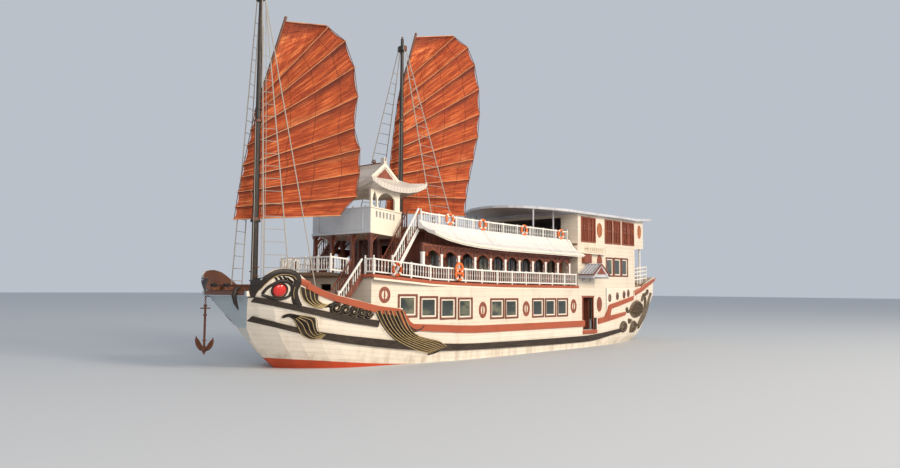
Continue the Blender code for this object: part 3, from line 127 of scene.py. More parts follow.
class Finish:
    """A material being made from nodes."""

    def __init__(self, name):
        self.material = bpy.data.materials.new(name)
        self.material.use_nodes = True
        self.tree = self.material.node_tree
        self.tree.nodes.clear()
        self.place = self.add("ShaderNodeTexCoord", out="Object")
        self.x, self.y, self.z = (self.axis(self.place, axis) for axis in "XYZ")

    def add(self, kind, settings=(), inputs=(), out=0):
        """Makes any node from its type, its settings, and its sockets' values or links."""
        node = self.tree.nodes.new(kind)
        for key, value in dict(settings).items():
            setattr(node, key, value)
        for key, value in dict(inputs).items():
            socket = node.inputs[key]
            if isinstance(value, Socket):
                self.tree.links.new(value.out, socket)
            else:
                socket.default_value = value + (1.0,) if socket.type == "RGBA" and len(value) == 3 else value
        return Socket(self, node.outputs[out])

    def axis(self, vector, name):
        return self.add("ShaderNodeSeparateXYZ", inputs={0: vector}, out=name)

    def stretched(self, *scales, place=None):
        """The place with each axis scaled, for grain and streaks."""
        return self.add("ShaderNodeVectorMath", {"operation": "MULTIPLY"}, {0: place or self.place, 1: scales})

    def noise(self, scale, detail=3.0, place=None, rough=0.55):
        return self.add("ShaderNodeTexNoise", inputs={"Vector": place or self.place, "Scale": scale,
                                                      "Detail": detail, "Roughness": rough})

    def blend(self, factor, first, second):
        """One colour over another."""
        return self.add("ShaderNodeMix", {"data_type": "RGBA"}, {0: factor, 6: first, 7: second}, 2)

    def seams(self, value, pitch, wide):
        """1 in a narrow line at every pitch, 0 between."""
        near = abs((value / pitch) % 1.0 - 0.5)
        return near.step(0.5 - wide / pitch, 0.5 - 0.3 * wide / pitch)

    def done(self, colour, rough, metallic=0.0, relief=None, depth=0.01, coat=0.0):
        """Closes the finish. Relief is a height in shares of its depth in metres."""
        inputs = {"Base Color": colour, "Roughness": rough, "Metallic": metallic, "Coat Weight": coat}
        if relief is not None:
            inputs["Normal"] = self.add("ShaderNodeBump", inputs={"Strength": 1.0, "Distance": depth, "Height": relief})
        output = self.tree.nodes.new("ShaderNodeOutputMaterial")
        self.tree.links.new(self.add("ShaderNodeBsdfPrincipled", inputs=inputs).out, output.inputs["Surface"])
        return self.material


def scaled(colour, share):
    return tuple(share * c for c in colour)


def painted(name, base, dirt, rough=0.42, plank=0.0):
    """Paint on timber: brushed, a little soiled, with the plank seams showing through where there are any."""
    f = Finish(name)
    patches = f.noise(0.7, 5.0)
    runs = f.noise(1.0, 4.0, f.stretched(2.6, 2.6, 0.22))
    soil = (patches.step(0.45, 0.85) * 0.45 + runs.step(0.52, 0.82) * 0.35).limited()
    colour = f.blend(soil, base, dirt)
    brush = f.noise(14.0, 3.0, f.stretched(0.35, 0.35, 1.6))
    relief = brush * 0.25
    if plank:
        line = f.seams(f.z + f.noise(0.5, 1.0) * 0.05, plank, 0.014)
        colour = f.blend(line * 0.30, colour, scaled(base, 0.45))
        relief = relief - line
    return f.done(colour, brush * 0.16 + rough - 0.06 + soil * 0.2, relief=relief, depth=0.006)


def timber(name, dark, light, along=0, rough=0.55, board=0.0, coat=0.0):
    """Timber with its grain along one axis and, where it has them, the seams between boards."""
    f = Finish(name)
    stretch = [9.0, 9.0, 9.0]
    stretch[along] = 0.7
    grain = f.noise(1.6, 6.0, f.stretched(*stretch), 0.65)
    colour = f.blend(grain.step(0.3, 0.7), dark, light)
    colour = f.blend(f.noise(0.9, 3.0).step(0.35, 0.7) * 0.35, colour, scaled(dark, 0.55))
    relief = grain * 0.4
    if board:
        line = f.seams(f.y if along == 0 else f.x, board, 0.010)
        colour = f.blend(line * 0.8, colour, (0.012, 0.010, 0.008))
        relief = relief - line
    return f.done(colour, grain * 0.2 + rough - 0.1, relief=relief, depth=0.004, coat=coat)


def plain(name, colour, rough, metallic=0.0, fleck=0.25, scale=9.0, coat=0.0, depth=0.002):
    """A small fitting's finish, with a little unevenness in colour and gloss."""
    f = Finish(name)
    spots = f.noise(scale, 4.0)
    tone = f.blend(spots.step(0.35, 0.75) * fleck, colour, scaled(colour, 0.5))
    return f.done(tone, spots * 0.2 + rough - 0.1, metallic, spots, depth, coat)


def hull_paint(name):
    """Cream topsides with faint plank seams, stained under the wales, over red paint near the water. Faces that look
    forward are painted blue-grey as their shade.
    """
    f = Finish(name)
    runs = f.noise(1.0, 5.0, f.stretched(2.2, 2.2, 0.16))
    patches = f.noise(0.55, 5.0)
    soil = (runs.step(0.50, 0.80) * 0.40 + patches.step(0.50, 0.85) * 0.35).limited()
    cream = f.blend(soil, (0.83, 0.74, 0.62), (0.50, 0.40, 0.29))
    cream = f.blend(f.z.step(1.3, 0.1) * runs.step(0.35, 0.70) * 0.5, cream, (0.42, 0.34, 0.24))
    wander = f.noise(0.35, 1.0) * 0.10
    line = f.seams(f.z + wander - f.x.step(6.0, 19.0) * 1.1, 0.235, 0.012)
    cream = f.blend(line * 0.28, cream, (0.30, 0.24, 0.17))
    red = f.blend(patches.step(0.40, 0.75) * 0.6, (0.56, 0.068, 0.016), (0.32, 0.046, 0.014))
    red = f.blend(runs.step(0.55, 0.8) * 0.5, red, (0.66, 0.15, 0.05))
    edge = f.x.step(8.5, 18.0) * 0.60 - 0.04 + patches * 0.03
    # Painted shade: faces that look forward, away from the key light, are tinted blue-grey
    face = f.add("ShaderNodeNewGeometry", out="True Normal")
    colour = f.blend(f.axis(face, "X").step(0.75, 0.88), cream, (0.36, 0.43, 0.47))
    inboard = (f.axis(face, "Y") * f.y < -0.05) * (f.z > 2.95) * (f.x > 10.0)
    beam = (f.z > 3.62) * (f.x > 18.3) * (abs(f.y) < 1.72)
    colour = f.blend((inboard + beam).limited(), colour, (0.13, 0.048, 0.026))
    colour = f.blend((edge - f.z).step(-0.012, 0.012), colour, red)
    brush = f.noise(11.0, 3.0, f.stretched(0.4, 0.4, 1.6))
    return f.done(colour, brush * 0.15 + 0.36 + soil * 0.2, relief=brush * 0.2 - line, depth=0.006)


def canopy_paint(name):
    """White painted boards that run down the veranda roof, with grime by the eave."""
    f = Finish(name)
    line = f.seams(f.x, 0.62, 0.02)
    runs = f.noise(1.0, 5.0, f.stretched(3.0, 0.35, 0.35))
    soil = (runs.step(0.50, 0.78) * 0.5 + f.noise(0.6, 4.0).step(0.5, 0.8) * 0.3).limited()
    colour = f.blend(soil, (0.80, 0.77, 0.73), (0.47, 0.43, 0.39))
    colour = f.blend(line * 0.55, colour, (0.33, 0.30, 0.27))
    return f.done(colour, soil * 0.25 + 0.40, relief=runs * 0.3 - line, depth=0.008)


def roof_paint(name, base, dirt, pitch):
    """Sheet roofing with seams across the vessel."""
    f = Finish(name)
    line = f.seams(f.x, pitch, 0.03)
    patches = f.noise(0.5, 5.0)
    colour = f.blend(patches.step(0.42, 0.78) * 0.6, base, dirt)
    colour = f.blend(line * 0.5, colour, scaled(base, 0.5))
    return f.done(colour, patches * 0.3 + 0.35, relief=patches * 0.4 - line, depth=0.008)


def glass(name, colour):
    """Dark window glass that mirrors the surroundings, with a little film on it and pale patches of painted light in
    it.
    """
    f = Finish(name)
    film = f.noise(1.2, 4.0)
    inside = f.noise(0.55, 3.0, f.stretched(1.0, 1.0, 2.2))
    tone = f.blend(film.step(0.35, 0.7) * 0.5, colour, scaled(colour, 1.9))
    # Painted light: pale olive patches, as of lit rooms seen through the glass
    tone = f.blend(inside.step(0.50, 0.72) * 0.8, tone, (0.17, 0.17, 0.10))
    return f.done(tone, film * 0.10 + 0.05, coat=1.0, relief=film, depth=0.003)


def sail_cloth(name):
    """Rust-red cloth with painted highlights and painted shade on its folds and in bands by the battens. Its UV map
    gives the share along the battens and the number of the panel.
    """
    f = Finish(name)
    uv = f.add("ShaderNodeUVMap", {"uv_map": "cloth"})
    u, local = f.axis(uv, "X"), f.axis(uv, "Y") % 1.0

    def folds(along, across, detail=4.0):
        return f.noise(1.0, detail, f.stretched(along, across, 1.0, place=uv), 0.6)

    fan = folds(3.0, 7.0)
    crease = folds(5.0, 26.0, 5.0)
    broad = folds(1.6, 1.1, 3.0)
    # Painted shade and light on the folds: darker in their hollows, brighter on their crests
    colour = f.blend(fan.step(0.34, 0.66), (0.36, 0.052, 0.013), (0.66, 0.116, 0.024))
    # Painted highlights on the fold crests, stronger towards the luff, and in a narrow band by each batten
    light = (fan.step(0.47, 0.66) * crease.step(0.42, 0.62) * (u.step(1.0, 0.05) * 0.8 + 0.3)
             + broad.step(0.52, 0.72) * 0.40 + local.step(0.08, 0.0) * 0.5).limited()
    colour = f.blend(light, colour, (0.94, 0.33, 0.110))
    # Painted shade in a band by each batten and in the creases
    shade = (local.step(0.62, 0.97) * 0.85 * fan.step(0.25, 0.55) + crease.step(0.50, 0.32) * 0.5
             + broad.step(0.46, 0.28) * 0.35).limited()
    colour = f.blend(shade, colour, (0.150, 0.022, 0.009))
    seam = f.seams(u + folds(0.8, 0.7, 2.0) * 0.05 + 0.07, 0.235, 0.0035)
    colour = f.blend(seam * 0.65, colour, (0.12, 0.022, 0.012))
    weave = f.noise(60.0, 2.0)
    return f.done(colour, weave * 0.1 + 0.68, relief=crease + fan * 0.8 + weave * 0.05 - seam * 0.3, depth=0.10)


FINISHES = {
    "hull": hull_paint("hull_paint"),
    "cream": painted("cream_paint", (0.75, 0.66, 0.54), (0.50, 0.40, 0.29), plank=0.30),
    "cream_trim": painted("cream_trim", (0.82, 0.73, 0.60), (0.55, 0.45, 0.34)),
    "white": painted("white_paint", (0.82, 0.79, 0.74), (0.50, 0.46, 0.41), rough=0.38),
    # Blue-grey paint that stands in for the shade on the pavilion's front: painted shade
    "panel": painted("front_painted_shade", (0.63, 0.66, 0.68), (0.36, 0.38, 0.41)),
    "canopy": canopy_paint("canopy_paint"),
    "roof": roof_paint("roof_paint", (0.56, 0.57, 0.61), (0.34, 0.34, 0.36), 0.9),
    "tile": roof_paint("pavilion_roof_paint", (0.66, 0.60, 0.53), (0.36, 0.32, 0.29), 0.24),
    "strake": painted("strake_paint", (0.40, 0.088, 0.036), (0.20, 0.050, 0.026)),
    "wale": timber("wale_timber", (0.016, 0.011, 0.008), (0.062, 0.040, 0.026), rough=0.7),
    "brown": timber("brown_timber", (0.11, 0.026, 0.014), (0.25, 0.070, 0.034), along=2, coat=0.3),
    "carved": timber("carved_timber", (0.085, 0.022, 0.012), (0.22, 0.066, 0.034), along=2, rough=0.5, coat=0.3),
    "shutter": timber("shutter_timber", (0.17, 0.036, 0.017), (0.36, 0.095, 0.042), along=2, coat=0.2),
    "disc": timber("disc_timber", (0.32, 0.085, 0.024), (0.55, 0.19, 0.055), along=2, coat=0.3),
    "deck": timber("deck_timber", (0.16, 0.085, 0.045), (0.33, 0.20, 0.115), board=0.14, rough=0.65),
    "mast": timber("mast_timber", (0.008, 0.006, 0.005), (0.040, 0.024, 0.016), along=2, rough=0.6, coat=0.1),
    "black": plain("dark_carving_paint", (0.022, 0.014, 0.010), 0.55, fleck=0.5, scale=5.0),
    "gilding": plain("gilding", (0.42, 0.30, 0.13), 0.55, 0.1, 0.7, 5.0),
    "mane": plain("mane_paint", (0.110, 0.078, 0.046), 0.55, fleck=0.7, scale=6.0),
    "scale": plain("scale_paint", (0.20, 0.135, 0.085), 0.5, 0.1, 0.7, 14.0),
    "red": plain("eye_red", (0.62, 0.018, 0.010), 0.25, coat=0.8, fleck=0.1),
    "orange": plain("ring_orange", (0.80, 0.17, 0.03), 0.5, fleck=0.3),
    "lantern": plain("lantern_paper", (0.62, 0.12, 0.03), 0.6, fleck=0.4),
    "ivory": plain("ivory_paint", (0.80, 0.74, 0.60), 0.38, fleck=0.3),
    "rust": plain("rusted_iron", (0.17, 0.060, 0.028), 0.75, 0.2, 0.8, 6.0, depth=0.006),
    "iron": plain("iron", (0.020, 0.019, 0.019), 0.5, 0.6, 0.4),
    "bronze": plain("bronze", (0.44, 0.26, 0.09), 0.35, 1.0, 0.4),
    "glass": glass("window_glass", (0.020, 0.026, 0.022)),
    "rope": plain("pale_rope", (0.42, 0.38, 0.33), 0.85, fleck=0.5, scale=40.0),
    "rope_light": plain("sail_rope", (0.66, 0.42, 0.28), 0.8, fleck=0.4, scale=20.0),
    "sail": sail_cloth("sail_cloth"),
    "batten": plain("batten_cane", (0.70, 0.30, 0.14), 0.6, fleck=0.75, scale=2.5),
    "spar": plain("spar_timber", (0.16, 0.050, 0.022), 0.5, fleck=0.7, scale=4.0),
}

# The frame's nodes by finish, without their sides. The rest are brown.
DRESSED = {
    "hull": "hull bow_bulwark", "cream": "stern_bulwark lower_house aft_house_main aft_house_upper", "rust": "anchor",
    "wale": "upper_wale lower_wale rudder", "deck": "main_deck upper_deck", "roof": "aft_roof porch",
    "cream_trim": "pavilion_base pavilion_frame", "tile": "pavilion_roof", "mast": "foremast mainmast",
    "white": "balcony_rail stern_rail main_rail upper_rail", "strake": "rubbing_strake quarter_strake",
    "carved": "arcade", "canopy": "canopy", "rope": "fore_stays main_stays", "bronze": "propeller",
}
for node, item in NODES.items():
    plain_name = node.removesuffix("_port").removesuffix("_starboard")
    material = FINISHES[next((key for key, names in DRESSED.items() if plain_name in names.split()), "brown")]
    for slot in item.material_slots:
        slot.material = material
    if not item.material_slots:
        item.data.materials.append(material)


# ---------------------------------------- studio

# The photograph's viewpoint in metres, the way it looks, and the lens for a 36 mm frame
EYE, BEARING, LENS, FRAME_WIDTH, FAR = (38.356, 31.122, 3.994), radians(41), 29.6, 36.0, 900.0
PITCH, ROLL = atan(54.7 / 740), atan(0.007)
LIT_POINT = Vector((0, 0, 5))


def lamp(name, place, size, power, colour):
    bpy.ops.object.light_add(type="AREA", location=place)
    light = bpy.context.object
    light.name = name
    light.data.size, light.data.energy, light.data.color = size, power, colour
    light.rotation_euler = (LIT_POINT - Vector(place)).to_track_quat("-Z", "Y").to_euler()


def studio():
    """Pale floor at the waterline, soft light and the camera."""
    scene = bpy.context.scene
    scene.view_settings.view_transform = "Standard"
    bpy.ops.mesh.primitive_plane_add(size=FAR, location=(0, 0, 0))
    floor = bpy.context.object
    floor.name = "studio_floor"
    f = Finish("studio_floor_paper")
    floor.data.materials.append(f.done(f.blend(f.noise(0.02) * 0.1, (0.56, 0.58, 0.60), (0.51, 0.53, 0.55)), 0.75))
    scene.world = bpy.data.worlds.new("studio_air")
    scene.world.use_nodes = True
    air = scene.world.node_tree.nodes["Background"].inputs
    air["Color"].default_value, air["Strength"].default_value = (0.80, 0.86, 0.95, 1.0), 0.62
    lamp("key_light", (-4, 108, 52), 36.0, 106000.0, (1.0, 0.87, 0.70))
    lamp("fill_light", (72, 92, 36), 40.0, 44000.0, (1.0, 0.91, 0.80))

    forward = Vector((-cos(BEARING) * cos(PITCH), -sin(BEARING) * cos(PITCH), sin(PITCH))).normalized()
    right = forward.cross(Vector((0, 0, 1))).normalized()
    up = right.cross(forward)
    right, up = right * cos(ROLL) + up * sin(ROLL), up * cos(ROLL) - right * sin(ROLL)
    bpy.ops.object.camera_add()
    camera = scene.camera = bpy.context.object
    camera.name = "photograph_view"
    camera.data.lens, camera.data.sensor_width, camera.data.clip_end = LENS, FRAME_WIDTH, FAR
    turn = Matrix((right, up, -forward)).transposed().to_4x4()
    camera.matrix_world = Matrix.Translation(EYE) @ turn


studio()


# ---------------------------------------- modelling

def choose(*items):
    """Leaves edit mode and selects these alone."""
    if bpy.context.object and bpy.context.object.mode != "OBJECT":
        bpy.ops.object.mode_set(mode="OBJECT")
    bpy.ops.object.select_all(action="DESELECT")
    for item in items:
        item.select_set(True)
    if items:
        bpy.context.view_layer.objects.active = items[0]


def in_edit(item, operator, **settings):
    """Runs an operator on all of a mesh."""
    choose(item)
    bpy.ops.object.mode_set(mode="EDIT")
    bpy.ops.mesh.select_all(action="SELECT")
    operator(**settings)
    bpy.ops.object.mode_set(mode="OBJECT")


def linked(item):
    bpy.context.scene.collection.objects.link(item)
    return item


def bench(name):
    """An empty mesh, opened for modelling in edit mode."""
    item = linked(bpy.data.objects.new(name, bpy.data.meshes.new(name)))
    choose(item)
    bpy.ops.object.mode_set(mode="EDIT")
    return item


def block(low, high):
    """A box between two corners, added to the mesh that is open."""
    low, high = Vector(low), Vector(high)
    bpy.ops.mesh.primitive_cube_add(size=1.0, location=(low + high) / 2, scale=high - low)


def rod(start, stop, radius, sides=8):
    start, stop = Vector(start), Vector(stop)
    run = stop - start
    bpy.ops.mesh.primitive_cylinder_add(vertices=sides, radius=radius, depth=run.length, location=(start + stop) / 2,
                                        rotation=run.to_track_quat("Z", "Y").to_euler())


def heading(run):
    """The turn about the upright axis that lays +X along a run."""
    return Matrix.Rotation(Vector(run[:2]).angle_signed(Vector((1, 0)), 0.0), 4, "Z")


def plank(start, stop, wide, high):
    """A straight bar of rectangular section between two points, upright."""
    start, stop = Vector(start), Vector(stop)
    run = stop - start
    turn = heading(run) @ Matrix.Rotation(-atan(run.z / max(1e-6, hypot(run.x, run.y))), 4, "Y")
    bpy.ops.mesh.primitive_cube_add(size=1.0, location=(start + stop) / 2, rotation=turn.to_euler(),
                                    scale=(run.length, wide, high))


def apply_modifier(item, kind, **settings):
    choose(item)
    bpy.ops.object.modifier_add(type=kind)
    modifier = item.modifiers[-1]
    for key, value in settings.items():
        setattr(modifier, key, value)
    bpy.ops.object.modifier_apply(modifier=modifier.name)


def done(item, finish, name=None, body=VESSEL, bevel=0.0, smooth=38.0, twin=False):
    """Closes a piece: edges eased, starboard twin added, faces turned out, shaded, finished and set on its body."""
    if name:
        item.name = item.data.name = name
    if bevel:
        apply_modifier(item, "BEVEL", width=bevel, segments=1, limit_method="ANGLE")
    if twin:
        apply_modifier(item, "MIRROR", use_axis=(False, True, False), use_mirror_merge=False)
    in_edit(item, bpy.ops.mesh.normals_make_consistent, inside=False)
    bpy.ops.object.transform_apply(location=True, rotation=True, scale=True)
    bpy.ops.object.shade_smooth_by_angle(angle=radians(smooth))
    item.data.materials.clear()
    item.data.materials.append(FINISHES[finish])
    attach(item, body)
    choose()
    return item


def joined(items, name):
    choose(*items)
    if len(items) > 1:
        bpy.ops.object.join()
    item = bpy.context.object
    item.name = item.data.name = name
    return item


def boxes(name, finish, bevel, *corners, twin=True):
    """A piece made of boxes, each between two corners."""
    item = bench(name)
    for low, high in corners:
        block(low, high)
    return done(item, finish, bevel=bevel, twin=twin)


def repeated(source, places, name):
    """Copies of a modelled shape at places, given as matrices or points, joined in one mesh."""
    choose()
    copies = []
    for place in places:
        copy = linked(source.copy())
        copy.data = source.data.copy()
        copy.data.transform(place if isinstance(place, Matrix) else Matrix.Translation(place))
        copies.append(copy)
    bpy.data.objects.remove(source)
    return joined(copies, name)


def warped(along, across, place):
    """A grid whose points go where place(u, v) puts them."""
    choose()
    bpy.ops.mesh.primitive_grid_add(x_subdivisions=along, y_subdivisions=across, size=2.0)
    item = bpy.context.object
    for point in item.data.vertices:
        point.co = place((point.co.x + 1) / 2, (point.co.y + 1) / 2)
    return item


def turned(profile, centre=(0, 0, 0), axis="Z", sides=24):
    """A shape turned from a profile of radius and height, set on an axis at a point."""
    item = bench("turning")
    mesh = bmesh.from_edit_mesh(item.data)
    points = [mesh.verts.new((radius, 0, height)) for radius, height in profile]
    for ends in zip(points, points[1:]):
        mesh.edges.new(ends)
    bmesh.update_edit_mesh(item.data)
    in_edit(item, bpy.ops.mesh.spin, steps=sides, angle=2 * pi, center=(0, 0, 0), axis=(0, 0, 1))
    in_edit(item, bpy.ops.mesh.remove_doubles, threshold=0.0005)
    turn = Matrix.Rotation(-pi / 2, 4, "X") if axis == "Y" else Matrix.Identity(4)
    item.data.transform(Matrix.Translation(centre) @ turn)
    return item


def tube(path, radius, sides=1):
    """A round bar or rope along a path. Sides is the bevel's resolution, and a fourth value scales the radius."""
    curve = bpy.data.curves.new("tube", "CURVE")
    curve.dimensions, curve.bevel_depth, curve.bevel_resolution, curve.use_fill_caps = "3D", radius, sides, True
    spline = curve.splines.new("POLY")
    spline.points.add(len(path) - 1)
    for point, place in zip(spline.points, path):
        point.co = (*place[:3], 1.0)
        point.radius = place[3] if len(place) > 3 else 1.0
    choose(linked(bpy.data.objects.new("tube", curve)))
    bpy.ops.object.convert(target="MESH")
    return bpy.context.object


# ---------------------------------------- the ship's side

SIDE_NODES = ("hull", "bow_bulwark", "stern_bulwark", "lower_house", "aft_house_main", "aft_house_upper")
BOW_NODES = ("bow_bulwark", "hull")


def skin(x, z, nodes=SIDE_NODES):
    """Half-breadth of the port side at a place, found on the frame."""
    hits = [NODES[node].ray_cast(Vector((x, 9.0, z)), Vector((0, -1, 0))) for node in nodes]
    return max((hit[1].y for hit in hits if hit[0] and hit[1].y > 0.05), default=None)


def side_band(path, lift, nodes=SIDE_NODES, rows=6, columns=4, thick=0.05, base=0.0):
    """A carved band on the port side. Its path holds x, z and width. Its back is in the planking, or a base off it."""
    line = smooth_path(path, rows)
    last = None
    edges = []
    for i, (x, z, wide) in enumerate(line):
        before, after = line[max(0, i - 1)], line[min(len(line) - 1, i + 1)]
        dx, dz = after[0] - before[0], after[1] - before[1]
        size = max(1e-6, hypot(dx, dz))
        edges.append((x, z, -dz / size * wide / 2, dx / size * wide / 2))

    def place(u, v):
        nonlocal last
        x, z, nx, nz = edges[min(len(edges) - 1, round(u * (len(edges) - 1)))]
        across = 2 * v - 1
        px, pz = x + nx * across, z + nz * across
        last = skin(px, pz, nodes) or last or 3.0
        return Vector((px, last + base + lift * (1 - across * across) - 0.015, pz))

    item = warped(len(edges) - 1, columns, place)
    apply_modifier(item, "SOLIDIFY", thickness=thick, offset=-1.0)
    return item


def side_bands(paths, lift, name, finish, **settings):
    """Several carved bands of one finish, on both sides of the ship."""
    done(joined([side_band(path, lift, **settings) for path in paths], name), finish, twin=True, smooth=50)


def lines_on(paths, name, base, rows=1, finish="gilding", nodes=SIDE_NODES):
    """Thin raised lines that stand a base off the planking."""
    side_bands(paths, 0.003, name, finish, rows=rows, columns=2, thick=0.03, base=base, nodes=nodes)


def side_patch(outline_low, outline_high, lift, name, finish="black", columns=6):
    """A fluted panel on both sides between two edges, given as x and z."""
    low, high = smooth_path(outline_low, 8), smooth_path(outline_high, 8)

    def place(u, v):
        (x0, z0), (x1, z1) = along(low, u), along(high, u)
        x, z = x0 + (x1 - x0) * v, z0 + (z1 - z0) * v
        flute = abs(sin(pi * v * columns / 2))
        return Vector((x, (skin(x, z) or 3.0) + lift * (0.35 + 0.65 * flute) - 0.01, z))

    item = warped(max(len(low), len(high)) - 1, columns * 2, place)
    apply_modifier(item, "SOLIDIFY", thickness=0.05, offset=-1.0)
    done(item, finish, name, twin=True, smooth=60)


def strands(outline_low, outline_high, count, wide, rows=12):
    """Paths of the raised lines that run down a fluted panel."""
    low, high = smooth_path(outline_low, 5), smooth_path(outline_high, 5)
    pairs = [(along(low, i / rows), along(high, i / rows)) for i in range(rows + 1)]
    return [[(x0 + (x1 - x0) * v, z0 + (z1 - z0) * v, wide) for (x0, z0), (x1, z1) in pairs]
            for v in spread(0, 1, count)]


# ---------------------------------------- carvings

def scrolls(places, radius, wide, turns, lift, core, base, names, finish, squash=1.0, start=0.0):
    """Carved scrolls, with a gilt line along each. Radius and width are pairs: at no turn, and lost in half a turn."""
    paths = []
    for x, z, size in places:
        reach = [(t, radius[0] - radius[1] * t) for t in turns]
        paths.append([(x + size * r * cos(pi * t + start), z + squash * size * r * sin(pi * t + start),
                       wide[0] - wide[1] * t) for t, r in reach])
    side_bands(paths, lift, names[0], finish, rows=2)
    lines_on([[(x, z, core) for x, z, _ in path] for path in paths], names[1], base, rows=2)


def on_skin(x, z):
    return Vector((x, skin(x, z), z))


def bow_carvings():
    """The brow, the eye, the swept fins and the scrolls on the cheeks."""
    brow = [(18.52, 3.56, 0.18), (18.56, 3.86, 0.26), (18.47, 4.14, 0.28), (18.32, 4.40, 0.27), (18.06, 4.62, 0.26),
            (17.70, 4.70, 0.25), (17.30, 4.66, 0.25), (17.00, 4.52, 0.28), (16.86, 4.26, 0.32), (16.90, 4.00, 0.27),
            (16.88, 3.72, 0.25), (16.74, 3.40, 0.26), (16.50, 3.10, 0.22)]
    side_bands([brow], 0.10, "brow_carving", "black", nodes=BOW_NODES)
    lid = [(18.20, 3.70, 0.05), (18.09, 4.02, 0.07), (17.74, 4.27, 0.08), (17.40, 4.28, 0.08), (17.14, 4.12, 0.07),
           (17.05, 3.90, 0.06), (17.08, 3.70, 0.05)]
    under = [(18.20, 3.66, 0.05), (17.80, 3.52, 0.06), (17.40, 3.47, 0.06), (17.12, 3.58, 0.05), (17.03, 3.80, 0.04)]
    low_line = [(18.36, 3.50, 0.03), (17.85, 3.40, 0.045), (17.30, 3.27, 0.045), (16.76, 3.12, 0.04)]
    side_bands([lid, under, low_line], 0.05, "eye_lines", "black", nodes=BOW_NODES)
    gilt = [[(x, z, 0.010) for x, z in line] for line in (
        ((18.40, 3.86), (18.33, 4.12), (18.17, 4.38), (17.90, 4.56), (17.55, 4.60), (17.20, 4.54), (16.98, 4.36)),
        ((18.60, 3.84), (18.52, 4.16), (18.36, 4.44), (18.06, 4.64), (17.70, 4.72)),
        ((16.98, 4.04), (16.98, 3.76), (16.86, 3.46), (16.64, 3.16)))]
    lines_on(gilt, "brow_gilding", 0.095, rows=4, nodes=BOW_NODES)
    lashes = [[(x, z, 0.03), (x + 0.06, z + 0.09, 0.04), (x + 0.16, z + 0.15, 0.012)]
              for x, z in ((17.86, 4.33), (17.66, 4.36), (17.46, 4.36), (17.27, 4.30), (17.11, 4.20))]
    side_bands(lashes, 0.10, "eye_lashes", "black", nodes=BOW_NODES, rows=3, columns=2, thick=0.03)

    side_patch([(18.16, 3.68), (17.80, 3.55), (17.40, 3.50), (17.14, 3.62), (17.05, 3.84)],
               [(18.16, 3.70), (18.04, 4.00), (17.72, 4.23), (17.34, 4.23), (17.08, 3.92)], 0.02,
               "eye_white", "ivory", 4)
    ahead = on_skin(17.88, 3.87) - on_skin(17.30, 3.87)
    out = ahead.cross(on_skin(17.58, 4.12) - on_skin(17.58, 3.62)).normalized()
    out = out if out.y > 0 else -out
    place = Matrix.Translation(on_skin(17.58, 3.87) + 0.02 * out) @ out.to_track_quat("Z", "Y").to_matrix().to_4x4()
    for name, finish, profile in (
            ("eye_ball", "red", [(0.0, 0.13), (0.10, 0.125), (0.20, 0.10), (0.28, 0.06), (0.325, 0.0), (0.33, -0.08),
                                 (0.0, -0.09)]),
            ("eye_ring", "black", [(0.325, 0.02), (0.345, 0.055), (0.385, 0.055), (0.405, 0.02), (0.405, -0.10),
                                   (0.325, -0.10)])):
        item = turned(profile, sides=32)
        item.data.transform(place)
        done(item, finish, name, twin=True, smooth=60)

    # Fins that flow aft from behind the eye
    fin_low = [(16.72, 4.06), (16.58, 3.66), (16.32, 3.34), (15.89, 3.10), (15.40, 3.04), (15.10, 3.10)]
    fin_high = [(15.76, 3.68), (15.74, 3.55), (15.70, 3.40), (15.50, 3.25), (15.20, 3.18), (15.02, 3.20)]
    side_patch(fin_low, fin_high, 0.06, "cheek_fin")
    lines_on(strands(fin_low[:-1], fin_high[:-1], 5, 0.008), "fin_gilding", 0.065)
    hook_low = [(17.06, 2.56), (16.88, 2.62), (16.62, 2.50), (16.34, 2.16), (16.02, 1.76), (15.60, 1.53), (15.16, 1.56),
                (14.66, 1.70)]
    hook_high = [(17.06, 2.66), (16.81, 2.76), (16.37, 2.69), (15.72, 2.56), (15.52, 2.15), (15.34, 1.84),
                 (15.02, 1.72), (14.64, 1.75)]
    side_patch(hook_low, hook_high, 0.14, "bow_fin")
    lines_on(strands(hook_low[2:-1], hook_high[2:-1], 5, 0.009), "hook_gilding", 0.150)
    wave_low = [(12.62, 2.86), (12.38, 2.50), (11.92, 1.98), (11.23, 1.44), (10.40, 1.04), (9.47, 0.70), (8.66, 0.54)]
    wave_high = [(11.02, 2.84), (10.72, 2.38), (10.28, 1.84), (9.67, 1.47), (8.83, 1.26), (8.10, 1.10), (7.64, 0.84)]
    side_patch(wave_low, wave_high, 0.15, "wave_fin", columns=9)
    lines_on(strands(wave_low, wave_high, 8, 0.009), "wave_gilding", 0.152)
    tips = [[(10.69, 2.32, 0.26), (10.40, 2.02, 0.24), (9.98, 1.84, 0.18), (9.60, 1.86, 0.10), (9.40, 2.04, 0.03)],
            [(15.12, 3.12, 0.12), (14.92, 3.20, 0.10), (14.84, 3.30, 0.05)],
            [(8.72, 0.54, 0.20), (8.30, 0.60, 0.18), (7.90, 0.72, 0.14), (7.62, 0.86, 0.05)]]
    side_bands(tips, 0.09, "fin_tips", "black")
    side_bands([[(17.02, 4.42, 0.10), (16.80, 4.33, 0.20), (16.55, 4.24, 0.25), (16.28, 4.13, 0.25)]], 0.04,
               "strake_head", "strake", nodes=BOW_NODES)
    scrolls(((14.74, 3.04, 0.24), (14.26, 2.94, 0.22), (13.79, 2.86, 0.21), (13.35, 2.79, 0.19), (12.95, 2.73, 0.18)),
            (1.05, 0.30), (0.050, 0.008), spread(-1.0, 2.6, 15), 0.08, 0.010, 0.088,
            ("scroll_carving", "scroll_gilding"), "black")


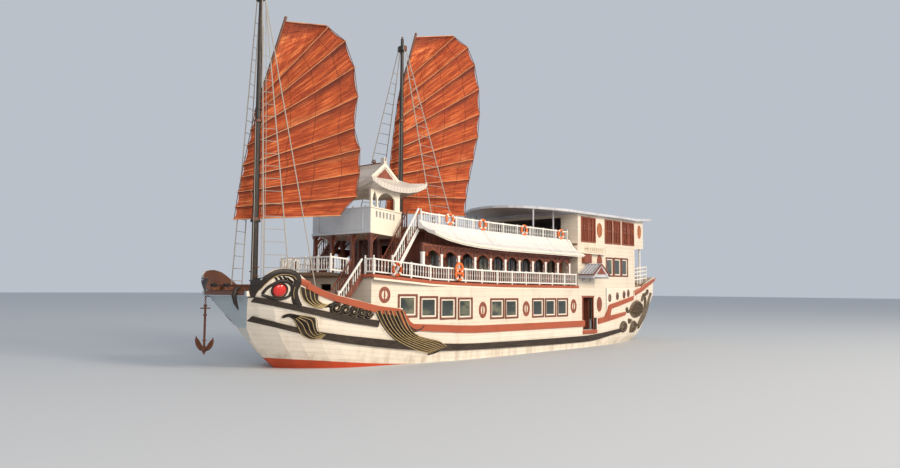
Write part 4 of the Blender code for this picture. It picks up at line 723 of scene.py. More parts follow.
def stern_carvings():
    """The scaled body with its mane, the two scrolls on each quarter and the band under the stern's cap."""
    side_patch([(-13.75, 2.42), (-14.10, 2.10), (-14.70, 1.86), (-15.40, 1.84), (-16.20, 2.05), (-16.66, 2.36)],
               [(-13.80, 2.52), (-14.10, 2.86), (-14.60, 3.10), (-15.20, 3.20), (-15.90, 3.06), (-16.40, 2.72)], 0.16,
               "scaled_body", "scale", 8)
    scales = []
    for row, z in enumerate(spread(2.00, 3.00, 8)):
        reach = 1.20 - 1.1 * ((z - 2.5) / 0.72) ** 2
        count = max(2, int(2 * reach / 0.26))
        for k in range(count):
            x = -15.2 - reach + (k + 0.5 * (row % 2)) * 2 * reach / count
            scales.append([(x + dx, z + dz, wide) for dx, dz, wide in (
                (-0.09, 0.04, 0.008), (-0.05, -0.05, 0.012), (0.05, -0.05, 0.012), (0.09, 0.04, 0.008))])
    lines_on(scales, "body_scales", 0.160, finish="mane")
    mane = [[(-16.40, 3.66, 0.10), (-16.90, 3.30, 0.22), (-17.05, 2.75, 0.26), (-16.90, 2.15, 0.26),
             (-16.40, 1.62, 0.24), (-15.95, 1.22, 0.12)],
            [(-18.20, 3.74, 0.10), (-17.85, 3.20, 0.20), (-17.66, 2.55, 0.24), (-17.30, 1.95, 0.22),
             (-16.80, 1.46, 0.20), (-16.20, 1.00, 0.10)],
            [(-17.30, 4.02, 0.10), (-17.34, 3.78, 0.20), (-16.90, 3.62, 0.24), (-16.36, 3.44, 0.20),
             (-16.17, 3.12, 0.08)],
            [(-13.20, 2.66, 0.08), (-13.26, 2.44, 0.16), (-13.60, 2.34, 0.14), (-13.90, 2.44, 0.06)],
            [(-13.72, 1.78, 0.08), (-13.90, 1.52, 0.16), (-14.20, 1.70, 0.06)]]
    side_bands(mane, 0.14, "mane_carving", "mane")
    lines_on([[(x + 0.02, z + 0.03, 0.010) for x, z, _ in path] for path in mane], "mane_gilding", 0.125, rows=3)
    scrolls(((-12.86, 1.15, 0.60), (-14.95, 1.08, 0.66)), (0.86, 0.25), (0.22, 0.03), spread(-0.6, 3.0, 19), 0.14,
            0.018, 0.125, ("quarter_scrolls", "quarter_gilding"), "mane", 0.72, 1.2)
    side_bands([[(x, z, 0.36) for x, z in ((-14.50, 3.70), (-15.2, 3.86), (-15.9, 4.02), (-17.0, 4.34), (-18.0, 4.61),
                                           (-18.86, 4.85))]], 0.05, "stern_cap_band", "strake",
               nodes=("stern_bulwark", "hull"))


bow_carvings()
stern_carvings()


# ---------------------------------------- windows and doors

# Rows of windows. columns: forward end, aft end, width of one, distance from one to the next, sill, head
WINDOWS = ((11.00, 5.58, 1.13, 1.43, 2.27, 3.34), (3.78, 1.14, 1.20, 1.44, 2.27, 3.34),
           (-0.52, -4.56, 1.16, 1.44, 2.27, 3.34), (-10.06, -13.44, 0.98, 1.20, 4.98, 6.24))
SHUTTERS = ((-6.56, -8.43, 0.84, 1.03, 7.36, 9.04), (-9.88, -12.16, 1.02, 1.26, 7.36, 9.04),
            (-12.52, -14.58, 0.93, 1.13, 7.36, 9.04))
DOOR_FORE, DOOR_AFT, DOOR_HEAD = -6.60, -7.94, 3.44


def wall_place(x, z, width=0.4):
    """Where a fitting of some width sits on the port side, turned to face out of it."""
    def wall(at):
        reach = [skin(at, z + up) for up in (0.0, 0.62, 0.72, 0.92, -0.62, -0.72, -0.92)]
        return next(y for y in reach if y and y > 2.0)

    fore, aft = wall(x + width / 2), wall(x - width / 2)
    return Matrix.Translation((x, (fore + aft) / 2, z)) @ Matrix.Rotation(atan((fore - aft) / width), 4, "Z")


def frame_bars(wide, high, bar, back, front):
    """Four bars round an opening, joined as a window frame is. Its outside measures wide by high."""
    block((-wide / 2, back, -high / 2), (wide / 2, front, -high / 2 + bar))
    block((-wide / 2, back, high / 2 - bar), (wide / 2, front, high / 2))
    block((-wide / 2, back, -high / 2 + bar), (-wide / 2 + bar, front, high / 2 - bar))
    block((wide / 2 - bar, back, -high / 2 + bar), (wide / 2, front, high / 2 - bar))


def window_frame(wide, high):
    frame_bars(wide + 0.16, high + 0.16, 0.11, -0.125, 0.045)


def window_sash(wide, high):
    frame_bars(wide - 0.06, high - 0.06, 0.085, -0.10, 0.0)


def window_pane(wide, high):
    block((-wide / 2 + 0.04, -0.075, -high / 2 + 0.04), (wide / 2 - 0.04, -0.060, high / 2 - 0.04))


def shutter_frame(wide, high):
    frame_bars(wide + 0.12, high + 0.12, 0.10, -0.10, 0.05)
    block((-0.035, -0.09, -high / 2), (0.035, 0.035, high / 2))
    block((-wide / 2, -0.08, 0.02), (wide / 2, 0.015, 0.08))


def shutter_boards(wide, high):
    for share in (-0.36, -0.15, 0.15, 0.36):
        block((share * wide - 0.055, -0.07, -high / 2 + 0.03), (share * wide + 0.055, -0.03, high / 2 - 0.03))


def shutter_back(wide, high):
    block((-wide / 2 + 0.02, -0.105, -high / 2 + 0.02), (wide / 2 - 0.02, -0.085, high / 2 - 0.02))


def fittings(rows, margin, shape, name, finish, bevel):
    """The same fitting in every place of some rows. A margin is what it covers of the wall beyond the opening."""
    parts = []
    for first, last, wide, pitch, sill, head in rows:
        middles = [first - i * pitch - wide / 2 for i in range(1 + round((first - wide - last) / pitch))]
        places = [wall_place(x, (sill + head) / 2 + sheer(x), wide + margin) for x in middles]
        unit = bench("unit")
        shape(wide, head - sill)
        parts.append(repeated(unit, places, "units"))
    done(joined(parts, name), finish, bevel=bevel, twin=True)


def house_windows():
    """Windows and shutters in the houses' walls, and the cabin's windows behind the veranda."""
    for row in ((WINDOWS, 0.20, window_frame, "window_frames", "brown", 0.008),
                (WINDOWS, 0.20, window_sash, "window_sashes", "cream_trim", 0.006),
                (WINDOWS, 0.20, window_pane, "window_panes", "glass", 0.003),
                (SHUTTERS, 0.15, shutter_frame, "shutter_frames", "shutter", 0.007),
                (SHUTTERS, 0.15, shutter_boards, "shutter_boards", "shutter", 0.006),
                (SHUTTERS, 0.15, shutter_back, "shutter_backs", "glass", 0.003)):
        fittings(*row)
    places = [(x, 3.0, 5.64 + sheer(x)) for x in (7.687 - i * 1.463 - 0.48 for i in range(9))]
    unit = bench("frame")
    frame_bars(1.04, 1.38, 0.06, -0.02, 0.035)
    block((-0.03, -0.02, -0.65), (0.03, 0.02, 0.65))
    done(repeated(unit, places, "cabin_window_frames"), "carved", bevel=0.006, twin=True)
    unit = bench("pane")
    block((-0.50, -0.09, -0.66), (0.50, -0.07, 0.66))
    done(repeated(unit, places, "cabin_window_panes"), "glass", bevel=0.003, twin=True)


def ovals(name, finish, places, profile):
    """Turned bosses stretched to ovals on the wall. A place gives x, z, half width and half height."""
    items = []
    for x, z, wide, high in places:
        item = turned(profile, axis="Y", sides=28)
        item.data.transform(Matrix.Diagonal((wide, 1, high, 1)))
        item.data.transform(wall_place(x, z))
        items.append(item)
    done(joined(items, name), finish, twin=True, smooth=50)


def wall_ovals():
    """The oval bosses between the windows, and the small lights near the stern."""
    bosses = ((11.90, 3.66, 0.36, 0.43), (4.55, 2.78, 0.37, 0.48), (0.20, 2.78, 0.37, 0.48), (-5.38, 2.87, 0.37, 0.48))
    lights = ((-10.36, 3.40), (-11.58, 3.53), (-12.72, 3.63), (-13.49, 3.74))
    dome = [(0.0, 0.05), (0.45, 0.045), (0.72, 0.02), (0.80, 0.055), (0.96, 0.045), (1.0, -0.02), (0.0, -0.02)]
    ovals("oval_rims", "shutter", bosses,
          [(0.50, -0.02), (0.55, 0.030), (0.78, 0.045), (0.97, 0.030), (1.0, -0.02), (0.50, -0.02)])
    ovals("oval_lenses", "shutter", [(x, z, wide * 0.24, high) for x, z, wide, high in bosses],
          [(0.0, 0.04), (0.26, 0.035), (0.54, 0.02), (0.60, -0.02), (0.0, -0.02)])
    ovals("oval_domes", "disc", [(x, z, 0.36, 0.54) for x, z in ((-9.06, 8.29), (-15.75, 8.58))], dome)
    ovals("oval_discs", "shutter", [(x, z, 0.36, 0.54) for x, z in ((-9.06, 5.98), (-8.89, 2.96))], dome)
    ovals("stern_light_rings", "brown", [(x, z, 0.23, 0.30) for x, z in lights],
          [(0.62, -0.02), (0.66, 0.03), (0.80, 0.05), (0.96, 0.03), (1.0, -0.02), (0.62, -0.02)])
    ovals("stern_light_panes", "glass", [(x, z, 0.15, 0.20) for x, z in lights],
          [(0.0, 0.010), (0.6, 0.008), (1.02, 0.0), (1.02, -0.02), (0.0, -0.02)])


def side_door_trim():
    """Frame, sill and boarding gate of the side door, and the shelf with its small baluster over the porch."""
    y = skin(-7.2, 3.6)
    boxes("door_frame", "shutter", 0.010,
          *[((x, y - 0.12, 1.20), (x + 0.10, y + 0.05, DOOR_HEAD + 0.10)) for x in (DOOR_FORE, DOOR_AFT - 0.10)],
          ((DOOR_AFT - 0.14, y - 0.12, DOOR_HEAD), (DOOR_FORE + 0.14, y + 0.06, DOOR_HEAD + 0.12)))
    boxes("boarding_sill", "strake", 0.012, ((DOOR_AFT - 0.42, y - 0.06, 0.94), (DOOR_FORE + 0.10, y + 0.13, 1.19)),
          *[((x, y + 0.12, 0.97), (x + 0.05, y + 0.16, 1.16)) for x in (DOOR_AFT - 0.30 + i * 0.38 for i in range(5))])
    boxes("boarding_gate", "black", 0.008, ((DOOR_AFT - 0.44, y + 0.02, 1.20), (DOOR_AFT - 0.11, y + 0.07, 2.02)),
          *[((DOOR_AFT - 0.42, y + 0.06, z), (DOOR_AFT - 0.13, y + 0.085, z + 0.13))
            for z in (1.26 + i * 0.20 for i in range(4))])
    y = skin(-8.3, 6.8)
    boxes("aft_shelf", "cream_trim", 0.006, ((-9.62, y - 0.02, 6.50), (-6.30, y + 0.34, 6.56)),
          *[((x - 0.035, y + 0.26, 6.56), (x + 0.035, y + 0.32, 6.98)) for x in (-9.45 + i * 0.29 for i in range(9))],
          ((-9.62, y + 0.24, 6.98), (-6.95, y + 0.34, 7.04)))
    boxes("shelf_locker", "shutter", 0.008, ((-7.60, y, 5.85), (-6.62, y + 0.24, 6.49)),
          *[((-7.52, y + 0.23, 5.93 + i * 0.18), (-6.70, y + 0.255, 6.06 + i * 0.18)) for i in range(3)])


def porch_trim():
    """Bargeboards, pediment and ribs of the gabled roof over the side door."""
    low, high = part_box("porch_port")
    middle, half = (low.x + high.x) / 2, (high.x - low.x) / 2
    eave, ridge = low.z + 0.42 * (high.z - low.z), high.z
    item = bench("porch_bargeboards")
    face = high.y + 0.012
    for side in (-1, 1):
        edge = middle + side * (half + 0.02)
        plank((middle + side * (half + 0.03), face, eave - 0.05), (middle, face, ridge + 0.02), 0.05, 0.12)
        plank((edge, low.y + 0.1, eave - 0.02), (edge, high.y, eave - 0.02), 0.05, 0.08)
    done(item, "brown", bevel=0.008, twin=True)
    item = bench("porch_pediment")
    bpy.ops.mesh.primitive_cylinder_add(vertices=3, radius=0.5, depth=0.05, location=(0, 0, 0), rotation=(pi / 2, 0, 0))
    bpy.ops.object.mode_set(mode="OBJECT")
    xs = [p.co.x for p in item.data.vertices]
    for point in item.data.vertices:
        u = (point.co.x - min(xs)) / (max(xs) - min(xs)) * 2 - 1
        top = abs(u) < 0.3
        point.co = (middle + (0 if top else (half - 0.30) * (1 if u > 0 else -1)), high.y - 0.03 + point.co.y,
                    ridge - 0.10 if top else eave + 0.03)
    done(item, "shutter", bevel=0.006, twin=True)
    item = bench("porch_ribs")
    for side in (-1, 1):
        for y in (low.y + 0.16 + i * (high.y - low.y - 0.22) / 4 for i in range(5)):
            plank((middle + side * (half + 0.02), y, eave + 0.035), (middle, y, ridge + 0.035), 0.045, 0.05)
    block((middle - 0.05, low.y + 0.05, ridge), (middle + 0.05, high.y + 0.03, ridge + 0.09))
    done(item, "roof", bevel=0.006, twin=True)


house_windows()
wall_ovals()
side_door_trim()
porch_trim()


# ---------------------------------------- rails and mouldings

# Rails' lines on the port side, as x and y
MAIN_RAIL = ((-5.83, 4.22), (10.4, 4.14), (12.82, 3.87), (12.82, 3.24))
UPPER_RAIL = ((-5.9, 3.50), (9.02, 3.50))
BALCONY_RAIL = ((12.96, 2.04), (14.08, 2.04), (14.08, 0.0))


def path_places(path, base, spacing):
    """Upright places along a path of x and y, at a height over a deck's sheer."""
    for (x0, y0), (x1, y1) in zip(path, path[1:]):
        count = max(1, round(hypot(x1 - x0, y1 - y0) / spacing))
        for share in ((i + 0.5) / count for i in range(count)):
            x = x0 + share * (x1 - x0)
            yield Matrix.Translation((x, y0 + share * (y1 - y0), base + sheer(x))) @ heading((x1 - x0, y1 - y0))


def baluster(high):
    """A thin square baluster with a swelling half way up."""
    item = bench("baluster")
    block((-0.015, -0.015, 0), (0.015, 0.015, high))
    block((-0.024, -0.024, high * 0.42), (0.024, 0.024, high * 0.58))
    return item


def rail_balusters():
    """Balusters under the rails of both decks, and the knobs on their corners."""
    foot = 0.12
    places = [*path_places(MAIN_RAIL, MAIN_DECK + foot, 0.205), *path_places(BALCONY_RAIL, MAIN_DECK + foot, 0.20)]
    done(repeated(baluster(0.66), places, "main_balusters"), "white", twin=True)
    done(repeated(baluster(0.66), path_places(UPPER_RAIL, UPPER_DECK + foot, 0.19), "upper_balusters"), "white",
         twin=True)
    knob = turned([(0.0, 0.11), (0.035, 0.10), (0.05, 0.07), (0.035, 0.045), (0.022, 0.035), (0.05, 0.0), (0.0, 0.0)],
                  sides=10)
    knobs = [(x, y, MAIN_DECK + 0.855 + sheer(x)) for x, y in (MAIN_RAIL[2], MAIN_RAIL[3], BALCONY_RAIL[1])]
    knobs += [(x, y, UPPER_DECK + 0.875 + sheer(x)) for x, y in UPPER_RAIL]
    done(repeated(knob, knobs, "rail_knobs"), "white", twin=True, smooth=50)


def stair_rails():
    """Balusters of the four stairs, and the newels at their feet."""
    fore = (12.9, MAIN_DECK + sheer(12.9), 14.38, 2.90)
    upper = (9.12, UPPER_DECK + sheer(9.12), 11.05, MAIN_DECK + sheer(11.1))
    # columns: top x and z, foot x and z, y, height, finish, name
    for x0, z0, x1, z1, y, high, finish, name in (
            (*fore, 2.27, 0.80, "brown", "fore_inner"), (*fore, 3.09, 0.80, "white", "fore_outer"),
            (*upper, 2.63, 1.0, "brown", "upper_inner"), (*upper, 3.43, 1.0, "white", "upper_outer")):
        if name.endswith("outer"):
            item = bench(f"{name}_white_rail")
            plank((x0, y, z0 + high - 0.02), (x1 - 0.03 * (x1 - x0), y, z1 + high + 0.03 * (z0 - z1) - 0.02), 0.085,
                  0.095)
            if name.startswith("upper"):
                plank((x0 + 0.05, y + 0.035, z0 - 0.16), (x1 - 0.05, y + 0.035, z1 + 0.06), 0.03, 0.20)
            done(item, "white", bevel=0.010, twin=True)
        count = round(hypot(x1 - x0, z1 - z0) / 0.24)
        places = [(x0 + share * (x1 - x0), y, z0 + share * (z1 - z0) - 0.04)
                  for share in (i / count for i in range(1, count))]
        done(repeated(baluster(high), places, f"{name}_stair_balusters"), finish, twin=True)
        boxes(f"{name}_newel", finish, 0.01, ((x1 - 0.02, y - 0.05, z1), (x1 + 0.08, y + 0.05, z1 + high + 0.16)),
              ((x1 - 0.035, y - 0.065, z1 + high + 0.10), (x1 + 0.095, y + 0.065, z1 + high + 0.14)))


def deck_edges():
    """The terracotta strip and the cream moulding along the main deck's edge."""
    line = [(x, 4.305 if x < 9 else (4.285 if x < 10.4 else 4.225)) for x in spread(-6.05, 9.0, 8)]
    line += [(10.5, 4.225), (12.88, 3.955)]
    for name, finish, low, high, out in (("deck_edge_strip", "strake", -0.155, 0.005, 0.045),
                                         ("deck_edge_moulding", "cream_trim", -0.27, -0.165, 0.035)):
        item = bench(name)
        points = [(x, y + out / 2 - 0.02, MAIN_DECK + sheer(x) + (low + high) / 2) for x, y in line]
        for ends in zip(points, points[1:]):
            plank(*ends, out, high - low)
        done(item, finish, bevel=0.006, twin=True)
    deck = MAIN_DECK + sheer(12.9)
    boxes("wing_front_moulding", "strake", 0.006, ((12.90, 2.12, deck - 0.15), (12.94, 3.95, deck + 0.005)))


rail_balusters()
stair_rails()
deck_edges()


# ---------------------------------------- veranda

POST_FIRST, POST_SPACING, POST_COUNT, POST_Y, EAVE_Z = 9.40, 1.463, 11, 4.02, 6.12
LANTERN_Y = 3.62


def eave_lift(x):
    """How far the canopy sweeps up towards its forward end."""
    return 0.46 * max(0.0, (x - 3.0) / 6.3) ** 3


def veranda():
    """White sleeves on the posts, carved edges round the arches, scrolls in their corners and lanterns."""
    item = bench("sleeve")
    block((-0.085, -0.085, 0.86), (0.085, 0.085, 1.48))
    block((-0.10, -0.10, 0.80), (0.10, 0.10, 0.88))
    block((-0.10, -0.10, 1.44), (0.10, 0.10, 1.52))
    posts = [(x, POST_Y, MAIN_DECK + sheer(x)) for x in (POST_FIRST - i * POST_SPACING for i in range(POST_COUNT))]
    done(repeated(item, posts, "post_sleeves"), "white", bevel=0.008, twin=True)

    # One bay of carving, about the middle of its arch
    half = POST_SPACING / 2 - 0.075
    edge = [(-half, -1.0), (-half, -0.60)]
    for share in (cos(pi * (1 - i / 12)) for i in range(1, 12)):
        rise = 0.8 * (1 - share * share) ** 0.5 + 0.2 * (1 - abs(share))
        edge.append((share * (half - 0.02), -0.60 + rise * 0.48))
    edge += [(half, -0.60), (half, -1.0)]
    ribs = [tube([(x, 0.045, z) for x, z in edge], 0.028),
            tube([(x * 0.90, 0.045, z - 0.05 + 0.1 * (abs(x) > half * 0.9)) for x, z in edge[1:-1]], 0.016)]
    # columns: distance in from the post, height, size, turns, start, way round, points, thickness
    curls = [tube(spiral((side * (half - x), 0.05, z), size, turns, start, flip=side * way, count=count), radius)
             for side in (-1, 1) for x, z, size, turns, start, way, count, radius in (
                 (0.15, -0.10, 0.105, 1.4, pi / 2, 1, 22, 0.017), (0.36, -0.04, 0.055, 1.2, pi / 2, -1, 14, 0.013),
                 (0.07, -0.74, 0.08, 1.3, 0.0, 1, 16, 0.016))]
    middles = [POST_FIRST - (i + 0.5) * POST_SPACING for i in range(POST_COUNT - 1)]
    bays = [(x, POST_Y, EAVE_Z + sheer(x)) for x in middles]
    done(repeated(joined(ribs, "arch_ribs"), bays, "arch_ribs"), "shutter", twin=True, smooth=50)
    done(repeated(joined(curls, "arch_scrolls"), bays, "arch_scrolls"), "shutter", twin=True, smooth=50)
    item = bench("eave_frieze")
    for x in (-0.55 + i * 0.366 for i in range(4)):
        block((x - 0.13, 0.055, 0.015), (x + 0.13, 0.085, 0.115))
    done(repeated(item, bays, "eave_frieze"), "shutter", bevel=0.008, twin=True)
    item = turned([(0.0, 0.24), (0.02, 0.20), (0.07, 0.18), (0.10, 0.10), (0.10, 0.04), (0.07, -0.04), (0.03, -0.07),
                   (0.0, -0.16)], sides=12)
    places = [(x, LANTERN_Y, z - 0.42) for x, _, z in bays]
    done(repeated(item, places, "veranda_lanterns"), "lantern", twin=True, smooth=50)
    item = bench("hanger")
    rod((0, LANTERN_Y, -0.20), (0, LANTERN_Y, 0.52), 0.008, 6)
    done(repeated(item, [(x, 0, z) for x, _, z in bays], "lantern_hangers"), "iron", twin=True)

    eave = [(x, 4.755 + 0.12 * eave_lift(x), 6.32 + eave_lift(x) + sheer(x)) for x in spread(-6.10, 9.30, 22)]
    done(tube(eave, 0.055, 2), "cream_trim", "canopy_eave", twin=True, smooth=50)
    ribs = []
    for x in spread(-5.7, 9.0, 13):
        lift = eave_lift(x)
        rib = [(x, y + 0.12 * lift * share, high + lift * share + sheer(x) + 0.004)
               for y, high, share in ((3.63, 7.44, 0.15), (3.90, 6.99, 0.45), (4.28, 6.63, 0.75), (4.74, 6.43, 1.0))]
        ribs.append(tube(smooth_path(rib, 4), 0.022))
    done(joined(ribs, "canopy_ribs"), "canopy", twin=True, smooth=50)


veranda()


# ---------------------------------------- sails

# Masts: x, height of foot and head, radius there
FOREMAST, MAINMAST = (17.2, 2.9, 19.2, 0.18, 0.10), (7.1, 7.20, 19.1, 0.17, 0.09)
FORE_ANGLE, MAIN_ANGLE = radians(40), radians(30)
SAIL_OFF_MAST, SAIL_CAMBER = 0.36, 0.30
# Batten ends in the sail's plane. columns: reach and height at the luff, reach and height at the leech
FORESAIL = (
    (1.14, 17.54, 3.26, 17.47), (0.68, 15.90, 4.22, 16.73), (0.23, 14.30, 4.72, 15.36),
    (-0.20, 12.78, 4.92, 13.83), (-0.42, 11.60, 4.77, 12.19), (-0.62, 10.50, 5.08, 11.10),
    (-0.78, 9.50, 5.08, 9.87), (-0.94, 8.50, 4.95, 8.65), (-1.07, 7.36, 4.10, 7.66))
MAINSAIL = (
    (0.88, 19.44, 3.38, 19.84), (0.50, 18.00, 4.37, 19.22), (0.10, 16.65, 4.84, 18.14),
    (-0.14, 15.40, 5.14, 16.60), (-0.28, 14.20, 5.19, 15.00), (-0.42, 13.00, 5.08, 13.50),
    (-0.54, 11.80, 4.80, 12.10), (-0.64, 10.70, 4.52, 10.80), (-0.74, 9.60, 4.32, 9.60),
    (-0.84, 8.52, 4.24, 8.50))
# Heights where the fanned battens meet the luff, head and boom included. The second one runs up to the peak.
FORE_LUFF = (17.54, 13.60, 12.74, 11.90, 11.10, 10.10, 9.46, 8.72, 7.98, 7.36)
MAIN_LUFF = (19.44, 16.40, 15.20, 14.10, 13.10, 12.30, 11.50, 10.70, 10.10, 9.50, 8.52)
PANEL_ROWS, SAIL_COLUMNS = 10, 52


def mast_radius(mast, z):
    return mast[3] + (mast[4] - mast[3]) * (z - mast[1]) / (mast[2] - mast[1])


def fanned(rows, heights):
    """The rows of a sail with their luff ends moved to other heights along the luff."""
    peak, next_leech = rows[0][2:], rows[1][2:]
    leeches = [peak, tuple(a + 0.10 * (b - a) for a, b in zip(peak, next_leech))] + [row[2:] for row in rows[1:]]
    luff = [(z, reach) for reach, z, _, _ in rows]
    return [(interpolate(luff, z), z) + tuple(leech) for z, leech in zip(heights, leeches)]


def panel_area(rows):
    """Flat area of the cloth between the battens."""
    area = 0.0
    for (a, az, b, bz), (c, cz, d, dz) in zip(rows, rows[1:]):
        xs, zs = (a, b, d, c), (az, bz, dz, cz)
        area += abs(sum(xs[i] * zs[(i + 1) % 4] - xs[(i + 1) % 4] * zs[i] for i in range(4))) / 2
    return area


def sail(name, mast, angle, outline, heights, collars):
    """A batten sail: its cloth, with a fold between each two battens, and the spars and ropes that go with it."""
    aft, away = Vector((-cos(angle), sin(angle), 0)), Vector((-sin(angle), -cos(angle), 0))
    rows = fanned(outline, heights)
    last = len(rows) - 1

    def at(reach, z, off):
        return Vector((mast[0], 0, z)) + aft * reach + away * off

    def on_batten(index, share, proud=0.0):
        luff, luff_z, leech, leech_z = rows[index]
        belly = SAIL_CAMBER * sin(pi * index / last) * 4 * share * (1 - share)
        return luff + share * (leech - luff), luff_z + share * (leech_z - luff_z), SAIL_OFF_MAST + belly + proud

    def cloth_point(u, v):
        v = 1 - v
        index = min(last - 1, int(v * last))
        t = v * last - index
        reach, z, off = (a + t * (b - a) for a, b in zip(on_batten(index, u), on_batten(index + 1, u)))
        fold = sin(pi * t)
        inset = 0.06 * fold * (u ** 8 - (1 - u) ** 8)
        belly = 0.15 * fold * sin(pi * (0.08 + 0.84 * u)) ** 0.6
        ripple = 0.020 * fold * sin(9.0 * v * last + 7.0 * u + 2.0 * sin(5 * u + index)) * sin(pi * u) ** 0.5
        ripple += 0.012 * fold * sin(31.0 * u + 2.6 * index + 3.0 * t)
        return at(reach - inset, z, off + 0.015 + belly + ripple)

    cloth = warped(SAIL_COLUMNS, PANEL_ROWS * last, cloth_point)
    layer = cloth.data.uv_layers.active
    layer.name = "cloth"
    for item in layer.data:
        item.uv = (item.uv[0], item.uv[1] * last)
    apply_modifier(cloth, "SOLIDIFY", thickness=0.010, offset=0.0)
    done(cloth, "sail", f"{name}_cloth", body=name, smooth=70)

    battens = [tube([at(*on_batten(index, s, side)) for s in spread(-0.012, 1.012, 13)],
                    0.028 if index in (0, last) else 0.018) for index in range(len(rows)) for side in (-0.035, 0.065)]
    battens = done(joined(battens, f"{name}_battens"), "batten", body=name, smooth=60)

    heel, peak = outline[3], rows[0]
    spars = [tube([at(heel[0] + 0.03, heel[1], 0.31), at(peak[0] + 0.08, peak[1] + 0.25, 0.31)], 0.072, 2)]
    spars += [tube([at(*on_batten(i, share, 0.015)) for i in range(len(rows))], 0.022) for share in (1.0, 0.0)]
    for z in collars:
        radius = mast_radius(mast, z) + 0.025
        ring = [(radius, 0.0), (radius + 0.045, 0.0), (radius + 0.045, 0.12), (radius, 0.12), (radius, 0.0)]
        spars += [turned(ring, (mast[0], 0, z)), bench("arm")]
        plank(at(-0.05, z + 0.06, radius + 0.02), at(-0.05, z + 0.06, SAIL_OFF_MAST + 0.06), 0.08, 0.08)
    done(joined(spars, f"{name}_spars"), "spar", body=name, smooth=50)

    ropes = []
    for index in range(3, last):
        luff_end = at(-0.05, rows[index][1] + 0.15, 0.20)
        ropes.append(tube([luff_end, at(*on_batten(index, 0.34, -0.07))], 0.013))
        ropes.append(tube([luff_end, at(*on_batten(index - 1, 0.10, -0.07))], 0.011))
    done(joined(ropes, f"{name}_parrels"), "rope_light", body=name, smooth=60)

    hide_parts(name)
    length = max(max(row[1], row[3]) for row in rows) - min(min(row[1], row[3]) for row in rows)
    round(panel_area(rows), 1)


sail("foresail", FOREMAST, FORE_ANGLE, FORESAIL, FORE_LUFF, (7.30, 12.2))
sail("mainsail", MAINMAST, MAIN_ANGLE, MAINSAIL, MAIN_LUFF, (8.44, 14.0))


# ---------------------------------------- standing rigging

# Feet of the port stays, as x and y
FORE_FEET = ((17.6, 1.45), (16.5, 2.15), (15.2, 2.60))
MAIN_FEET = ((7.75, 3.30), (5.95, 3.30))
FOREDECK = 2.9


def stay_point(mast, foot, deck, z):
    """Where a port stay is at a height."""
    start = Vector((mast[0] + 0.08 * (1 if foot[0] > mast[0] else -1), 0.225, mast[2] - 0.60))
    stop = Vector((foot[0], foot[1], deck + 0.055))
    return start + (stop - start) * ((z - start.z) / (stop.z - start.z))


def rigging():
    """Ratlines between the stays, halyards down the masts, blocks and cleats."""
    item = bench("ratlines")
    for mast, feet, deck, low, high, pitch in ((FOREMAST, FORE_FEET, FOREDECK, 3.7, 18.2, 0.62),
                                               (MAINMAST, MAIN_FEET, 7.22, 8.1, 18.0, 0.60)):
        for z in (low + i * pitch for i in range(round((high - low) / pitch))):
            rod(stay_point(mast, feet[0], deck, z), stay_point(mast, feet[1], deck, z), 0.016, 6)
    done(item, "rope", twin=True, smooth=60)

    ropes = [tube([(x, y * 0.5, top), (x + lean, y, (top + low) / 2), (x + lean * 1.6, y, low)], 0.016)
             for x, y, top, low, lean in ((17.02, 0.30, 18.3, 3.9, -0.12), (16.95, -0.22, 17.2, 3.8, -0.2),
                                          (17.42, 0.26, 12.2, 3.9, 0.05))]
    # These two lie along the mainmast, inside the sail's collars
    ropes += [tube([(MAINMAST[0] + side * (mast_radius(MAINMAST, z) + 0.0125), 0.0, z) for z in (top, 8.2)], 0.011)
              for side, top in ((-1, 18.2), (1, 14.0))]
    done(joined(ropes, "halyards"), "rope", smooth=60)

    item = bench("rigging_blocks")
    for x, z in ((17.2, 18.72), (7.1, 18.62)):
        block((x - 0.10, -0.31, z - 0.28), (x + 0.10, -0.23, z + 0.02))
        block((x - 0.10, 0.23, z - 0.28), (x + 0.10, 0.31, z + 0.02))
        rod((x, 0, z + 0.02), (x, 0, z + 0.62), 0.055, 12)
    for (x, y), deck in zip(FORE_FEET + MAIN_FEET, (FOREDECK, FOREDECK, FOREDECK, 7.32, 7.29)):
        for side in (-1, 1):
            rod((x, side * y - 0.03, deck + 0.34), (x, side * y + 0.03, deck + 0.34), 0.085, 12)
            rod((x, side * y - 0.03, deck + 0.62), (x, side * y + 0.03, deck + 0.62), 0.075, 12)
    done(item, "spar", bevel=0.008, smooth=50)
    boxes("mast_cleats", "spar", 0.012, *[
        ((x - 0.14, y - 0.03, z), (x + 0.14, y + 0.03, z + 0.05))
        for x, foot, radius in ((17.2, 4.3, 0.185), (7.1, 8.6, 0.178))
        for y, z in (((radius + 0.015) * (1 if turn % 2 else -1), foot + 0.22 * turn) for turn in range(4))],
        twin=False)


rigging()


# ---------------------------------------- pavilion

PAV_AFT, PAV_FORE, PAV_HALF, PAV_FLOOR, PAV_PARAPET = 9.44, 11.72, 2.41, 6.55, 7.91
PAV_MIDDLE = (PAV_AFT + PAV_FORE) / 2 + 0.05
PAV_SEAT = 8.90 + sheer(PAV_FORE)
# Its legs on the port side: their lines along and across the vessel
LEG_AFT, LEG_FORE, LEG_OUTER, LEG_INNER = PAV_AFT + 0.12, PAV_FORE - 0.12, PAV_HALF - 0.12, 0.85


